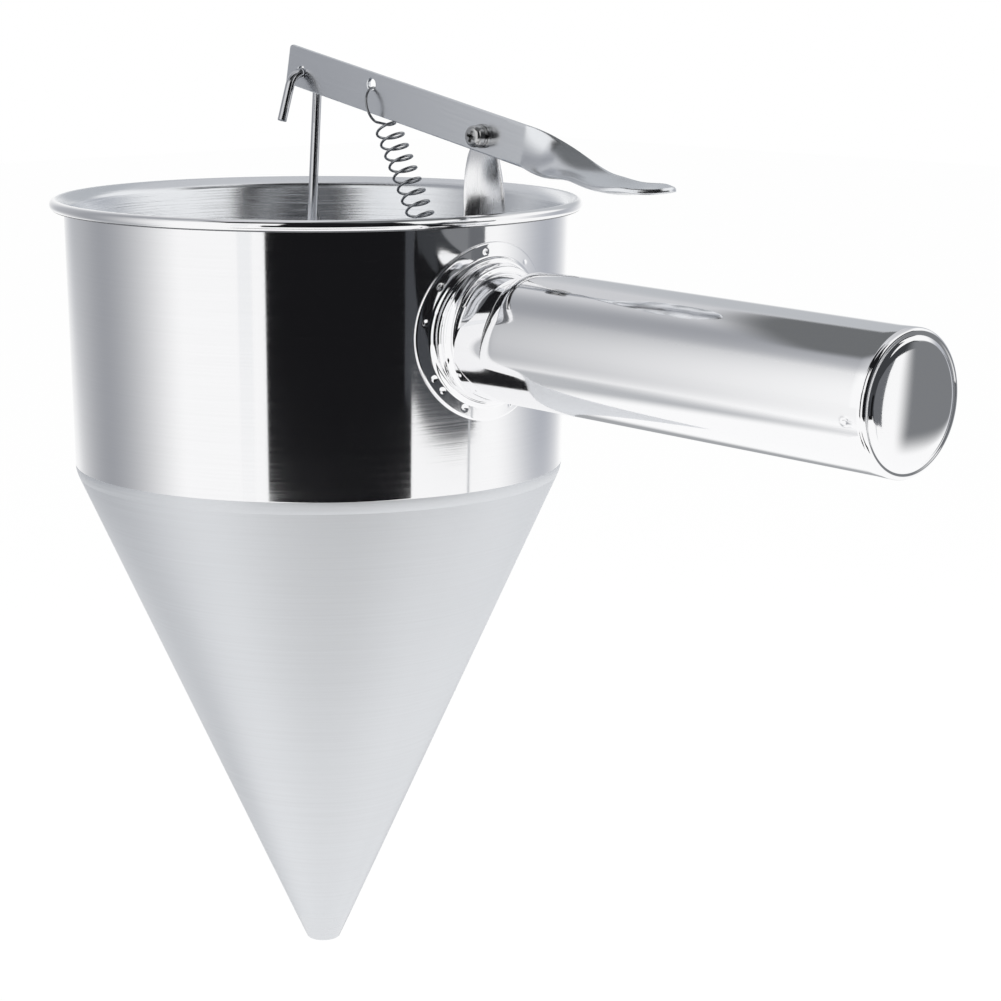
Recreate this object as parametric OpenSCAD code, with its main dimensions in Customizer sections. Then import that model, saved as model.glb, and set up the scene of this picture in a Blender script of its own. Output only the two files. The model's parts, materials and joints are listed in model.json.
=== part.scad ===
// Batter dispenser: a cone bowl with a spring loaded stopper valve, a tube handle and a thumb lever.
// Millimetres. +Z is up, the origin is the centre of the outlet's lower face, the handle points along +X.
// The lever is drawn pressed, so the stopper stands clear of its seat.

/* [Bowl] */
// Outside diameter of the rolled rim
rim_d = 145; // [120:1:180]
// Height from the outlet to the top of the rim
bowl_h = 211.7; // [190:0.1:260]
// Height of the corner between the cone and the upright wall
cone_h = 137.7; // [110:0.1:145]
// How far the rolled rim stands out from the wall below it
rim_overhang = 3.9; // [3.3:0.1:5.5]
// Thickness of the roll on the rim
rim_roll_d = 3; // [2.4:0.1:4]
// How much the wall's radius shrinks from the rim to the cone
wall_taper = 1.6; // [0:0.1:3]
// Thickness of the bowl's sheet metal
sheet_t = 0.8; // [0.5:0.05:1]
// Outside radius of the bend between wall and cone
bend_r = 9; // [4:0.5:15]

/* [Outlet] */
// Diameter of the cone's outside where it would reach the outlet's lower face
tip_d = 8.94; // [8.4:0.02:12]
// Diameter of the outlet bore
outlet_d = 6; // [4:0.1:6.4]
// Length of the straight bore
outlet_bore_h = 5; // [3:0.5:7]
// Height of the turned tip below the sheet metal cone
tip_h = 8; // [7:0.5:12]
// Height of the tip's spigot inside the cone
spigot_h = 5; // [3:0.5:8]
// Wall left at the lip of the spigot
spigot_lip = 0.9; // [0.6:0.1:1.5]
// Rounding of the tip's lower edge
tip_round = 1.2; // [0.4:0.1:1.3]

/* [Handle] */
// Depth of the handle's axis below the rim
handle_drop = 30.7; // [29:0.1:41]
// Downward slope of the handle, in degrees
handle_tilt = 1.45; // [0:0.05:6]
// Outside diameter of the grip tube
handle_d = 35; // [26:0.2:36]
// Distance from the wall to the seam of the end cap
handle_len = 135; // [100:0.5:170]
// Wall thickness of the grip tube and its neck
handle_t = 0.8; // [0.6:0.1:1.5]
// Rounding of the tube's shoulder at the neck
shoulder_r = 3; // [2:0.5:4]
// Length of the neck between the wall and the tube
neck_len = 16; // [11:0.5:22]
// How much narrower than the tube the neck is
neck_step = 2.4; // [1:0.2:4]
// Diameter of the plate that is welded to the wall
flange_d = 46.6; // [42:0.2:47]
// Thickness of the welded plate
flange_t = 1; // [0.8:0.1:1.5]
// Diameter of a weld dimple
dimple_d = 2.4; // [1.6:0.1:3]
// Rise of the end cap's dome
cap_rise = 1; // [0.5:0.1:5]
// Rounding of the end cap's edge
cap_round = 1.2; // [0.9:0.1:2.5]
// Length of the end cap's skirt inside the tube
cap_skirt = 6; // [3:0.5:12]

/* [Lever] */
// Height of the pivot above the rim
pivot_up = 19.6; // [17:0.1:30]
// Distance of the pivot inside the rim's outer edge
pivot_in = 5.3; // [4:0.1:9]
// Slope of the pressed lever towards the handle, in degrees
lever_tilt = 11.15; // [6:0.05:14]
// Width of the lever strip
lever_w = 10.8; // [10:0.1:13]
// Thickness of the lever strip
lever_t = 1.2; // [1:0.1:2]
// Height of the strip's middle line above the pivot
lever_rise = 0.95; // [0:0.05:1.5]
// How far past the bowl's axis the rod hangs from the lever
rod_offset = 3.4; // [0:0.1:6]
// Length of the lever beyond the rod's hole
lever_nose = 6; // [4:0.5:12]
// Distance from the pivot to the hole for the spring
spring_arm = 43.7; // [36:0.1:50]
// Height of the spring's hole above the pivot, square to the lever
spring_hole_up = 3.15; // [1:0.05:3.6]
// Diameter of the holes for the rod and the spring
hook_hole_d = 3; // [2.9:0.1:3.4]
// Distance from the pivot to the start of the quarter twist
twist_start = 19.6; // [16:0.2:26]
// Length of the quarter twist
twist_len = 17; // [12:0.5:20]
// Length of the thumb pad
pad_len = 28.4; // [22:0.2:36]
// Width of the thumb pad
pad_w = 18; // [14:0.2:24]
// Depth of the dish in the thumb pad
pad_dish = 1.4; // [0:0.1:2.5]
// Upward slope of the thumb pad against the lever, in degrees
pad_tilt = 9.5; // [4:0.5:12]

/* [Bracket and pivot] */
// Width of the bracket strip
bracket_w = 10.6; // [9:0.1:12]
// Thickness of the bracket strip
bracket_t = 1; // [0.8:0.1:1.5]
// Sideways offset of the bracket's foot from the handle's axis
bracket_y = 0.8; // [-1:0.1:2]
// Length of the foot against the wall
foot_len = 17; // [12:0.5:22]
// Reach of the foot's ear into the bowl
ear_len = 13.8; // [10:0.1:18]
// Diameter of the pivot screw's shank
screw_d = 3; // [2.5:0.1:4]
// Diameter of the screw head
head_d = 5.6; // [5.2:0.1:7]
// Height of the screw head
head_h = 2.5; // [1.6:0.1:3]
// Diameter of the washers
washer_d = 6.2; // [5.8:0.1:8]
// Thickness of the flat washer
washer_t = 0.8; // [0.4:0.1:1]
// Thickness of the split lock washer
lock_t = 0.9; // [0.6:0.1:1.2]
// Thickness of the washer between lever and bracket
bearing_t = 0.5; // [0.3:0.1:1]
// Width across the nut's flats
nut_w = 5.5; // [5:0.1:8]
// Thickness of the nut
nut_t = 2.4; // [1.8:0.1:3.5]

/* [Stopper and spring] */
// Diameter of the stopper rod
rod_d = 2.5; // [2:0.1:2.6]
// Radius of the rod's hook, to the wire's centre
hook_r = 5; // [4.5:0.05:7]
// Length of the hook's free leg
hook_leg = 10; // [5:0.5:14]
// Spread of the hook's free leg, in degrees
hook_splay = 17.3; // [0:0.1:25]
// Height at which the rod's slight bend sits
rod_bend_z = 205; // [180:1:215]
// Diameter of the stopper plug
plug_d = 10; // [8:0.2:11]
// How far the stopper stands above its seat when the lever is pressed
valve_lift = 12; // [6:0.5:16]
// Diameter of the spring wire
wire_d = 0.7; // [0.5:0.05:0.9]
// Outside diameter of the spring
coil_d = 7.4; // [6:0.1:9]
// Number of turns in the spring
coil_turns = 14; // [8:1:18]

/* [Hidden] */
$fn = 96;

polished = [0.80, 0.81, 0.82];
satin = [0.72, 0.74, 0.75];
zinc = [0.62, 0.63, 0.65];

seat_gap = 0.05;       // gap between pieces that are welded or pressed together
run_gap = 0.05;        // radial clearance of the lever on its screw
eps = 0.01;

// Bowl outline: r is the outside radius, the sheet lies inside it
rim_r = rim_d / 2;
roll_r = rim_roll_d / 2;
roll_c = [rim_r - roll_r, bowl_h - roll_r];
flare_h = 5.5;                          // height of the flare under the rim
flare_z = bowl_h - flare_h;
wall_top_r = rim_r - rim_overhang;
wall_bottom_r = wall_top_r - wall_taper;
wall_draft = atan(wall_taper / (flare_z - cone_h));
cone_angle = atan((wall_bottom_r - tip_d / 2) / cone_h);
function wall_r(z) = wall_top_r - (flare_z - z) * tan(wall_draft);
function wall_in(z) = wall_r(z) - sheet_t / cos(wall_draft);
function cone_r(z) = tip_d / 2 + z * tan(cone_angle);
function cone_in(z) = cone_r(z) - sheet_t / cos(cone_angle);

// Unit vectors of the sheet's outline, and its inward normals
wall_dir = [sin(wall_draft), cos(wall_draft)];
cone_dir = [sin(cone_angle), cos(cone_angle)];
wall_in_dir = [-cos(wall_draft), sin(wall_draft)];
cone_in_dir = [-cos(cone_angle), sin(cone_angle)];
corner = [wall_bottom_r, cone_h];
bend_len = bend_r * tan((cone_angle - wall_draft) / 2);
bend_top = corner + bend_len * wall_dir;
bend_bottom = corner - bend_len * cone_dir;
bend_c = bend_top + bend_r * wall_in_dir;
bend_cuts = 8;
// Points of the bend at radius r, from the cone up to the wall, or down again when way is -1
function bend_arc(r, way) = [for (i = way > 0 ? [0 : bend_cuts] : [bend_cuts : -1 : 0])
    let (a = cone_angle + (wall_draft - cone_angle) * i / bend_cuts) bend_c + r * [cos(a), -sin(a)]];

// Flare: a straight band of sheet, tangent to the roll
flare_in = [wall_in(flare_z), flare_z];
to_roll = roll_c - flare_in;
flare_sink = 0.1;                       // how far the band runs inside the roll's outer surface
flare_arm = roll_r - flare_sink;
flare_a = atan2(to_roll[1], to_roll[0]) + asin(flare_arm / norm(to_roll));
flare_run = sqrt(norm(to_roll) * norm(to_roll) - flare_arm * flare_arm) - sheet_t / 2;
flare_dir = [cos(flare_a), sin(flare_a)];
flare_out_dir = [sin(flare_a), -cos(flare_a)];
flare_end = flare_in + flare_run * flare_dir;

// Outlet and stopper
outlet_r = outlet_d / 2;
spigot_z = tip_h + spigot_h;
seat_top_r = cone_in(spigot_z) - spigot_lip;
seat_angle = atan((seat_top_r - outlet_r) / (spigot_z - outlet_bore_h));
plug_r = plug_d / 2;
plug_tip_r = 1.4;
plug_cone_h = (plug_r - plug_tip_r) / tan(seat_angle);
plug_body_h = 3;
plug_neck_h = 3;
plug_neck_r = rod_d / 2 + 1;
plug_clear = 0.15;     // gap between plug and seat when the valve is shut
plug_z = outlet_bore_h - (outlet_r - plug_tip_r) / tan(seat_angle) + plug_clear / sin(seat_angle) + valve_lift;
plug_top_z = plug_z + plug_cone_h + plug_body_h + plug_neck_h;
rod_socket = 6;        // depth of the rod's hole in the plug
bend_bead = 0.03;      // how much the rod swells where it bends

// Handle
handle_z = bowl_h - handle_drop;
handle_x = wall_r(handle_z);
handle_r = handle_d / 2;
neck_r = handle_r - neck_step / 2;
neck_drop = neck_step / 2;
collar_r = handle_r + 0.6;
collar_h = 3;
dimple_ring_r = (flange_d / 2 + collar_r) / 2;
dimple_angles = [12, 54, 98, 143, 170, 211, 222, 245, 290, 332];   // spots welded by hand, so not evenly spaced
vent_from_cap = 4;     // a small weld spot near the cap, low on the camera side of the tube
vent_angle = 9;

// Pivot and lever
pivot = [rim_r - pivot_in, 0, bowl_h + pivot_up];
bracket_front_y = -0.7;
lever_back_y = bracket_front_y - bearing_t;
lever_front_y = lever_back_y - lever_t;
lever_mid_y = lever_back_y - lever_t / 2;
rod_arm = (pivot[0] + rod_offset) / cos(lever_tilt);
lever_front = rod_arm + lever_nose;
lever_corner = 1;
pad_c = twist_start + twist_len + pad_len / 2;
pad_drop = 1;
pad_flare_end = 0.994; // the sweep stops just short of the pad's very tip

// Points of the lever in the object's frame: a is along the lever, b is square to it
function on_lever(a, y, b) = [pivot[0] + a * cos(lever_tilt) + b * sin(lever_tilt), y,
    pivot[2] - a * sin(lever_tilt) + b * cos(lever_tilt)];
rod_hole = on_lever(-rod_arm, lever_mid_y, 0);
spring_hole = on_lever(-spring_arm, lever_mid_y, spring_hole_up);

// Bracket
bracket_top_z = pivot[2] - 5.3;
foot_top_z = bowl_h - 11.7;
foot_bottom_z = foot_top_z - foot_len;
foot_edge_y = bracket_w / 2 + abs(bracket_y);
foot_out_x = sqrt(pow(wall_in(foot_bottom_z), 2) - foot_edge_y * foot_edge_y) - seat_gap;
foot_mid_x = foot_out_x - bracket_t / 2;
bracket_top_x = pivot[0] - 2.5;
ear_tip_x = foot_out_x - ear_len;
ear_w = 8;
ear_hole_in = 3;
ear_hole = [ear_tip_x + ear_hole_in, bracket_y, foot_bottom_z];

// Rod and spring
rod_r = rod_d / 2;
hook_hole_r = hook_hole_d / 2;
hook_top_z = rod_hole[2] - (hook_hole_r - rod_r) / 2;
hook_c = [rod_hole[0], lever_mid_y, hook_top_z - hook_r];
wire_r = wire_d / 2;
coil_r = (coil_d - wire_d) / 2;
spring_top = [spring_hole[0], lever_mid_y, spring_hole[2] - (hook_hole_r - wire_r) + 0.25];
lower_loop_r = 3.2;    // radius of the spring's loop at the ear
loop_gap = 0.1;        // gap between that loop and the ear's underside
lower_c = [ear_tip_x + (ear_hole_in - hook_hole_r) / 2, bracket_y, foot_bottom_z - wire_r - loop_gap + lower_loop_r];
spring_dir = (lower_c - spring_top) / norm(lower_c - spring_top);
coil_side = cross(spring_dir, [0, -1, 0]) / norm(cross(spring_dir, [0, -1, 0]));
coil_back = cross(coil_side, spring_dir);

// Smooth step from 0 to 1
function ease(t) = let (c = min(1, max(0, t))) c * c * (3 - 2 * c);

// ---- shared shapes ----

// A cylinder from one point to another
module bar(from, to, r) {
    v = to - from;
    translate(from)
        rotate([0, acos(v[2] / norm(v)), atan2(v[1], v[0])])
            cylinder(h = norm(v), r = r);
}

// Everything inside the bowl's wall, grown outwards by grow
module wall_core(grow) {
    low_z = cone_h - bend_r;
    translate([0, 0, low_z])
        cylinder(h = flare_z - low_z, r1 = wall_r(low_z) + grow, r2 = wall_top_r + grow);
}

// Puts a shape drawn along +Z on the handle's axis, with its zero at the wall and +X pointing down
module on_handle() {
    translate([handle_x, 0, handle_z])
        rotate([0, 90 + handle_tilt, 0])
            children();
}

// Puts a shape drawn along +Z on the pivot's axis, running towards +Y from y
module on_pivot(y) {
    translate([pivot[0], y, pivot[2]])
        rotate([-90, 0, 0])
            children();
}

// A flat ring
module ring(outer_r, inner_r, h) {
    difference() {
        cylinder(h = h, r = outer_r);
        translate([0, 0, -eps])
            cylinder(h = h + 2 * eps, r = inner_r);
    }
}

// A closed skin over rings of points that all have the same even number of points
module skin(rings) {
    count = len(rings);
    sides = len(rings[0]);
    last = (count - 1) * sides;
    polyhedron(
        points = [for (ring_points = rings) each ring_points],
        faces = [
            for (i = [0 : count - 2], k = [0 : sides - 1])
                let (n = (k + 1) % sides)
                each [[i * sides + k, (i + 1) * sides + k, (i + 1) * sides + n],
                    [i * sides + k, (i + 1) * sides + n, i * sides + n]],
            for (k = [0 : sides / 2 - 2])
                let (m = sides - 1 - k)
                each [[k, k + 1, m - 1], [k, m - 1, m],
                    [last + m - 1, last + k + 1, last + k], [last + m, last + m - 1, last + k]]]);
}

// ---- bowl ----

module cup_wall() {
    color(polished)
        rotate_extrude($fn = 192) {
            polygon(concat(bend_arc(bend_r, 1), [[wall_r(flare_z), flare_z]],
                [flare_end + sheet_t * flare_out_dir, flare_end, flare_in], bend_arc(bend_r - sheet_t, -1)));
            translate(roll_c)
                difference() {
                    circle(r = roll_r);
                    circle(r = roll_r - sheet_t);
                }
        }
}

module funnel_cone() {
    color(satin)
        rotate_extrude($fn = 192)
            polygon([[cone_r(tip_h), tip_h], bend_bottom, bend_bottom + sheet_t * cone_in_dir,
                [cone_in(tip_h), tip_h]]);
}

module outlet_tip() {
    corner_r = tip_d / 2 - tip_round;
    color(satin)
        difference() {
            union() {
                rotate_extrude()
                    polygon([[0, 0], [corner_r, 0], [cone_r(tip_round * 0.3), tip_round * 0.3],
                        [cone_r(tip_h), tip_h], [0, tip_h]]);
                translate([0, 0, tip_h - eps])
                    cylinder(h = spigot_h + eps, r1 = cone_in(tip_h) - seat_gap, r2 = cone_in(spigot_z) - seat_gap);
            }
            translate([0, 0, -1])
                cylinder(h = outlet_bore_h + 1 + eps, r = outlet_r);
            translate([0, 0, outlet_bore_h])
                cylinder(h = spigot_z - outlet_bore_h + eps, r1 = outlet_r, r2 = seat_top_r);
        }
}

// ---- handle ----

module handle_flange() {
    color(polished)
        difference() {
            intersection() {
                wall_core(seat_gap + flange_t);
                translate([0, 0, handle_z])
                    rotate([0, 90, 0])
                        cylinder(h = 2 * rim_r, r = flange_d / 2);
            }
            wall_core(seat_gap);
            for (a = dimple_angles)
                let (y = dimple_ring_r * cos(a),
                    z = handle_z + dimple_ring_r * sin(a),
                    r = wall_r(z) + seat_gap + flange_t)
                    translate([sqrt(r * r - y * y) + dimple_d / 4, y, z])
                        sphere(d = dimple_d, $fn = 24);
        }
}

module handle_neck() {
    sag = 12;   // the wall curves away from the neck by less than this
    color(polished)
        difference() {
            on_handle()
                translate([neck_drop, 0, -sag])
                    difference() {
                        union() {
                            cylinder(h = sag + neck_len, r = neck_r);
                            translate([-neck_drop, 0, 0])
                                cylinder(h = sag + flange_t + collar_h, r1 = collar_r, r2 = neck_r);
                        }
                        translate([0, 0, -eps])
                            cylinder(h = sag + neck_len + 2 * eps, r = neck_r - handle_t);
                    }
            wall_core(2 * seat_gap + flange_t);
        }
}

// Outline of a round body with a rounded shoulder, from its middle out to r and from z up to top
module shoulder_outline(r, z, top, round_r) {
    translate([0, z])
        square([r - round_r, top - z]);
    translate([0, z + round_r])
        square([r, top - z - round_r]);
    translate([r - round_r, z + round_r])
        circle(r = round_r);
}

module handle_tube() {
    shoulder_z = neck_len - shoulder_r;
    spot_r = 0.7;
    color(polished)
        on_handle()
            difference() {
                rotate_extrude()
                    difference() {
                        intersection() {
                            shoulder_outline(handle_r, shoulder_z, handle_len, shoulder_r);
                            square([handle_r, handle_len]);
                        }
                        intersection() {
                            shoulder_outline(handle_r - handle_t, shoulder_z + handle_t, handle_len + 1,
                                shoulder_r - handle_t);
                            square([handle_r, handle_len + 1]);
                        }
                    }
                translate([neck_drop, 0, shoulder_z - 1])
                    cylinder(h = shoulder_r + 1 + eps, r = neck_r + seat_gap);
                rotate([0, 0, -90 + vent_angle])
                    translate([handle_r + spot_r / 2, 0, handle_len - vent_from_cap])
                        sphere(r = spot_r, $fn = 24);
            }
}

module handle_cap() {
    edge_z = handle_len + seat_gap;
    flat_r = handle_r - cap_round;
    dome_r = (flat_r * flat_r + cap_rise * cap_rise) / (2 * cap_rise);
    skirt_r = handle_r - handle_t - seat_gap;
    cap_inner = cap_round / 3;
    color(polished)
        on_handle()
            rotate_extrude() {
                difference() {
                    union() {
                        translate([0, edge_z])
                            square([flat_r, cap_round]);
                        intersection() {
                            translate([flat_r, edge_z])
                                circle(r = cap_round);
                            translate([0, edge_z])
                                square([handle_r, cap_round]);
                        }
                        intersection() {
                            translate([0, edge_z + cap_round + cap_rise - dome_r])
                                circle(r = dome_r, $fn = 2880);
                            translate([0, edge_z])
                                square([flat_r, cap_round + cap_rise]);
                        }
                    }
                    square([skirt_r - handle_t, edge_z + cap_inner]);
                }
                translate([skirt_r - handle_t, edge_z - cap_skirt])
                    square([handle_t, cap_skirt + cap_inner + eps]);
            }
}

// ---- bracket and pivot ----

// Centre and section of the bracket strip at a share t of the way down its twist; it nears the wall last
function bracket_center(t) = [bracket_top_x + (foot_mid_x - bracket_top_x) * pow(max(0, 2 * t - 1), 2.5),
    bracket_front_y + bracket_t / 2 + (bracket_y - bracket_front_y - bracket_t / 2) * ease(t * 1.6),
    bracket_top_z + (foot_top_z - bracket_top_z) * t];
function bracket_ring(t) =
    let (c = bracket_center(t), a = 90 * t, d = [cos(a), sin(a), 0] * bracket_w / 2,
        n = [sin(a), -cos(a), 0] * bracket_t / 2)
    [c - d - n, c + d - n, c + d + n, c - d + n];

module lever_bracket() {
    steps = 18;
    boss_r = bracket_w / 2;
    color(polished)
        difference() {
            union() {
                skin([for (i = [0 : steps]) bracket_ring(i / steps)]);
                translate([0, bracket_front_y + bracket_t, 0])
                    rotate([90, 0, 0])
                        linear_extrude(bracket_t) {
                            translate([pivot[0], pivot[2]])
                                circle(r = boss_r);
                            polygon([[bracket_top_x - boss_r, bracket_top_z],
                                [bracket_top_x + boss_r, bracket_top_z],
                                [pivot[0] + boss_r, pivot[2]], [pivot[0] - boss_r, pivot[2]]]);
                        }
                translate([foot_out_x - bracket_t, bracket_y - bracket_w / 2, foot_bottom_z])
                    cube([bracket_t, bracket_w, foot_len]);
                translate([ear_tip_x, bracket_y - ear_w / 2, foot_bottom_z])
                    cube([ear_len, ear_w, bracket_t]);
            }
            on_pivot(bracket_front_y - 1)
                cylinder(h = bracket_t + 2, r = screw_d / 2 + run_gap);
            translate(ear_hole - [0, 0, 1])
                cylinder(h = bracket_t + 2, r = hook_hole_r);
        }
}

washer_y = lever_front_y - washer_t;
lock_y = washer_y - lock_t;
head_y = lock_y - head_h;
bracket_back_y = bracket_front_y + bracket_t;

module pivot_screw() {
    head_round = 1;
    recess_w = 0.7;
    recess_depth = 1.2;
    tail = 1.2;
    color(zinc)
        on_pivot(head_y)
            difference() {
                union() {
                    rotate_extrude() {
                        translate([0, head_round])
                            square([head_d / 2, head_h - head_round]);
                        square([head_d / 2 - head_round, head_h]);
                        translate([head_d / 2 - head_round, head_round])
                            circle(r = head_round);
                    }
                    cylinder(h = bracket_back_y + nut_t + tail - head_y, r = screw_d / 2);
                }
                for (turn = [0, 90])
                    rotate([0, 0, turn])
                        translate([-head_d / 3, -recess_w / 2, -1])
                            cube([head_d * 2 / 3, recess_w, recess_depth + 1]);
            }
}

module flat_washer() {
    color(zinc)
        on_pivot(washer_y)
            ring(washer_d / 2, screw_d / 2 + run_gap, washer_t);
}

module lock_washer() {
    split_w = 0.6;
    color(zinc)
        on_pivot(lock_y)
            difference() {
                ring(washer_d / 2 - 0.2, screw_d / 2 + run_gap, lock_t);
                translate([0, -split_w / 2, -1])
                    cube([washer_d, split_w, lock_t + 2]);
            }
}

module bearing_washer() {
    color(zinc)
        on_pivot(lever_back_y)
            ring(washer_d / 2 + 0.4, screw_d / 2 + run_gap, bearing_t);
}

module pivot_nut() {
    color(zinc)
        on_pivot(bracket_back_y)
            difference() {
                cylinder(h = nut_t, r = nut_w / sqrt(3), $fn = 6);
                translate([0, 0, -1])
                    cylinder(h = nut_t + 2, r = screw_d / 2 + run_gap);
            }
}

// ---- lever ----

// Half width, twist and middle line of the lever's grip end at a distance a from the pivot
function pad_half(a) = let (s = (a - pad_c) / (pad_len / 2)) pad_w / 2 * sqrt(max(0, 1 - s * s));
function grip_half(a) = a < pad_c ? max(lever_w / 2, pad_half(a)) : pad_half(a);
function grip_rise(a) = lever_rise - pad_drop * ease((a - twist_start) / (pad_c - twist_start))
    + tan(pad_tilt) * max(0, a - pad_c + pad_len / 4) * ease((a - pad_c + pad_len / 4) / (pad_len / 2));
function grip_ring(a, cuts) =
    let (turn = 90 * ease((a - twist_start) / twist_len), d = [0, sin(turn), cos(turn)],
        n = [0, cos(turn), -sin(turn)], c = [a, 0, grip_rise(a)], w = grip_half(a),
        dish = pad_dish * ease((a - twist_start - twist_len / 2) / twist_len))
    concat(
        [for (k = [0 : cuts]) let (s = 2 * k / cuts - 1)
            c + d * w * s + n * (lever_t / 2 + dish * (1 - s * s))],
        [for (k = [cuts : -1 : 0]) let (s = 2 * k / cuts - 1)
            c + d * w * s - n * (lever_t / 2 - dish * (1 - s * s))]);

module lever() {
    rings = 44;
    cuts = 8;
    grip_len = pad_c + pad_len / 2 * pad_flare_end - twist_start;
    nose_x = -lever_front + lever_corner;
    top_z = lever_rise + lever_w / 2;
    bottom_z = lever_rise - lever_w / 2;
    color(polished)
        translate([pivot[0], lever_mid_y, pivot[2]])
            rotate([0, lever_tilt, 0]) {
                difference() {
                    translate([0, lever_t / 2, 0])
                        rotate([90, 0, 0])
                            linear_extrude(lever_t) {
                                polygon([[-lever_front, bottom_z], [twist_start, bottom_z], [twist_start, top_z],
                                    [nose_x, top_z], [nose_x, top_z - lever_corner],
                                    [-lever_front, top_z - lever_corner]]);
                                translate([nose_x, top_z - lever_corner])
                                    circle(r = lever_corner);
                            }
                    rotate([90, 0, 0])
                        for (hole = [[0, 0, screw_d / 2 + run_gap], [-rod_arm, 0, hook_hole_r],
                                [-spring_arm, spring_hole_up, hook_hole_r]])
                            translate([hole[0], hole[1], -lever_t])
                                cylinder(h = 2 * lever_t, r = hole[2]);
                }
                skin([for (i = [0 : rings]) grip_ring(twist_start + grip_len * sin(90 * i / rings), cuts)]);
            }
}

// ---- stopper ----

module stopper_rod() {
    foot = [0, 0, plug_top_z - rod_socket];
    above_plug = [0, 0, plug_top_z + 8];
    bend = [rod_hole[0] * 0.88, 0.5, rod_bend_z];
    lean = atan2(hook_c[1] + hook_r - bend[1], hook_c[2] - bend[2]);
    long_leg = hook_c + hook_r * [0, cos(lean), -sin(lean)];
    short_leg = hook_c + hook_r * [0, -cos(hook_splay), sin(hook_splay)];
    color(polished) {
        bar(foot, above_plug, rod_r);
        bar(above_plug, bend, rod_r);
        bar(bend, long_leg, rod_r);
        for (joint = [above_plug, bend, long_leg, short_leg])
            translate(joint)
                sphere(r = rod_r + bend_bead);
        translate(hook_c)
            rotate([90, 0, 90])
                rotate([0, 0, -lean])
                    rotate_extrude(angle = 180 + lean - hook_splay)
                        translate([hook_r, 0])
                            circle(r = rod_r);
        bar(short_leg, short_leg - hook_leg * [0, sin(hook_splay), cos(hook_splay)], rod_r);
    }
}

module stopper_plug() {
    color(polished)
        difference() {
            union() {
                translate([0, 0, plug_z])
                    cylinder(h = plug_cone_h, r1 = plug_tip_r, r2 = plug_r);
                translate([0, 0, plug_z + plug_cone_h - eps])
                    cylinder(h = plug_body_h + eps, r = plug_r);
                translate([0, 0, plug_top_z - plug_neck_h - eps])
                    cylinder(h = plug_neck_h + eps, r = plug_neck_r);
            }
            translate([0, 0, plug_top_z - rod_socket - seat_gap])
                cylinder(h = rod_socket + 1, r = rod_r + seat_gap);
        }
}

// ---- spring ----

upper_loop_r = 5.35;   // radius of the hook loop at the lever
coil_from = upper_loop_r * 2 + 1.1;
coil_to = norm(lower_c - spring_top) - lower_loop_r - 1;
turn_points = 12;

function coil_point(t) =
    let (a = 360 * coil_turns * t - 90,
        r = coil_r * ease(coil_turns * t / 0.3) * ease(coil_turns * (1 - t) / 0.6))
    spring_top + spring_dir * (coil_from + (coil_to - coil_from) * t)
        - coil_side * r * cos(a) + coil_back * r * sin(a);
function upper_loop_point(a) =
    spring_top + spring_dir * upper_loop_r * (1 - sin(a)) + [0, upper_loop_r * cos(a), 0];
function lower_loop_point(a) = lower_c + lower_loop_r * [cos(a), 0, sin(a)];

spring_path = concat(
    [for (a = [-20 : 20 : 260]) upper_loop_point(a)],
    [for (i = [0 : coil_turns * turn_points]) coil_point(i / (coil_turns * turn_points))],
    [for (a = [100 : -20 : -210]) lower_loop_point(a)]);

// Frames that follow the path without turning about it
function unit(v) = v / norm(v);
function heading(path, i) = unit(path[min(i + 1, len(path) - 1)] - path[max(i - 1, 0)]);
function carry(v, t) = unit(v - (v * t) * t);

module wire(path, r, sides) {
    first = carry([1, 0, 0], heading(path, 0));
    normals = [for (i = 0, n = first; i < len(path);
        i = i + 1, n = carry(n, heading(path, min(i, len(path) - 1)))) n];
    skin([for (i = [0 : len(path) - 1])
        let (n = normals[i], b = cross(heading(path, i), n))
        [for (k = [0 : sides - 1]) path[i] + r * (cos(-360 * k / sides) * n + sin(-360 * k / sides) * b)]]);
}

module return_spring() {
    color(polished)
        wire(spring_path, wire_r, 6);
}

cup_wall();
funnel_cone();
outlet_tip();
handle_flange();
handle_neck();
handle_tube();
handle_cap();
lever_bracket();
pivot_screw();
flat_washer();
lock_washer();
bearing_washer();
pivot_nut();
lever();
return_spring();
stopper_rod();
stopper_plug();
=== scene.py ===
import json
import math

import bmesh
import bpy
from mathutils import Matrix, Vector


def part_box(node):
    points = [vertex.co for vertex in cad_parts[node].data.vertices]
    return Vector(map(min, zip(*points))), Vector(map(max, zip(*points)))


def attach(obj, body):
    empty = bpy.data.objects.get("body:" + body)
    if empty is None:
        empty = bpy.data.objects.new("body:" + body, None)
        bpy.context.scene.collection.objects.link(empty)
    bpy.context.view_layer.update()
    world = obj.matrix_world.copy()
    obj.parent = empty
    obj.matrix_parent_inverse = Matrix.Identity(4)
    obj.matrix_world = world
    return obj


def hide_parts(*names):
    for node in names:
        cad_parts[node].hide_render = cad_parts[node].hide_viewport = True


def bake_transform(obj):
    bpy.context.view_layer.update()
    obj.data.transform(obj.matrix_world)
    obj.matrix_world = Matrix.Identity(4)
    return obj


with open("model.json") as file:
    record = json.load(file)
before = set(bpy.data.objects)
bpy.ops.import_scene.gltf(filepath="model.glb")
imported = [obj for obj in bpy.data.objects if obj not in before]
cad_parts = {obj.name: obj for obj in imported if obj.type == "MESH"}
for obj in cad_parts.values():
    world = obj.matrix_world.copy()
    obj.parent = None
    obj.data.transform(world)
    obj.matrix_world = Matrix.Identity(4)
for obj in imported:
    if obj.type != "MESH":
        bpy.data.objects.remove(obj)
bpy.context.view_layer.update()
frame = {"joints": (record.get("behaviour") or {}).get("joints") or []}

bl_info = {
    "name": "Batter dispenser",
    "version": (1, 0, 0),
    "blender": (4, 5, 0),
    "location": "3D View > Sidebar > Dispenser",
    "description": "Builds a steel cone bowl with a stopper valve, a tube handle and a thumb lever",
    "category": "Add Mesh",
}

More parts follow.
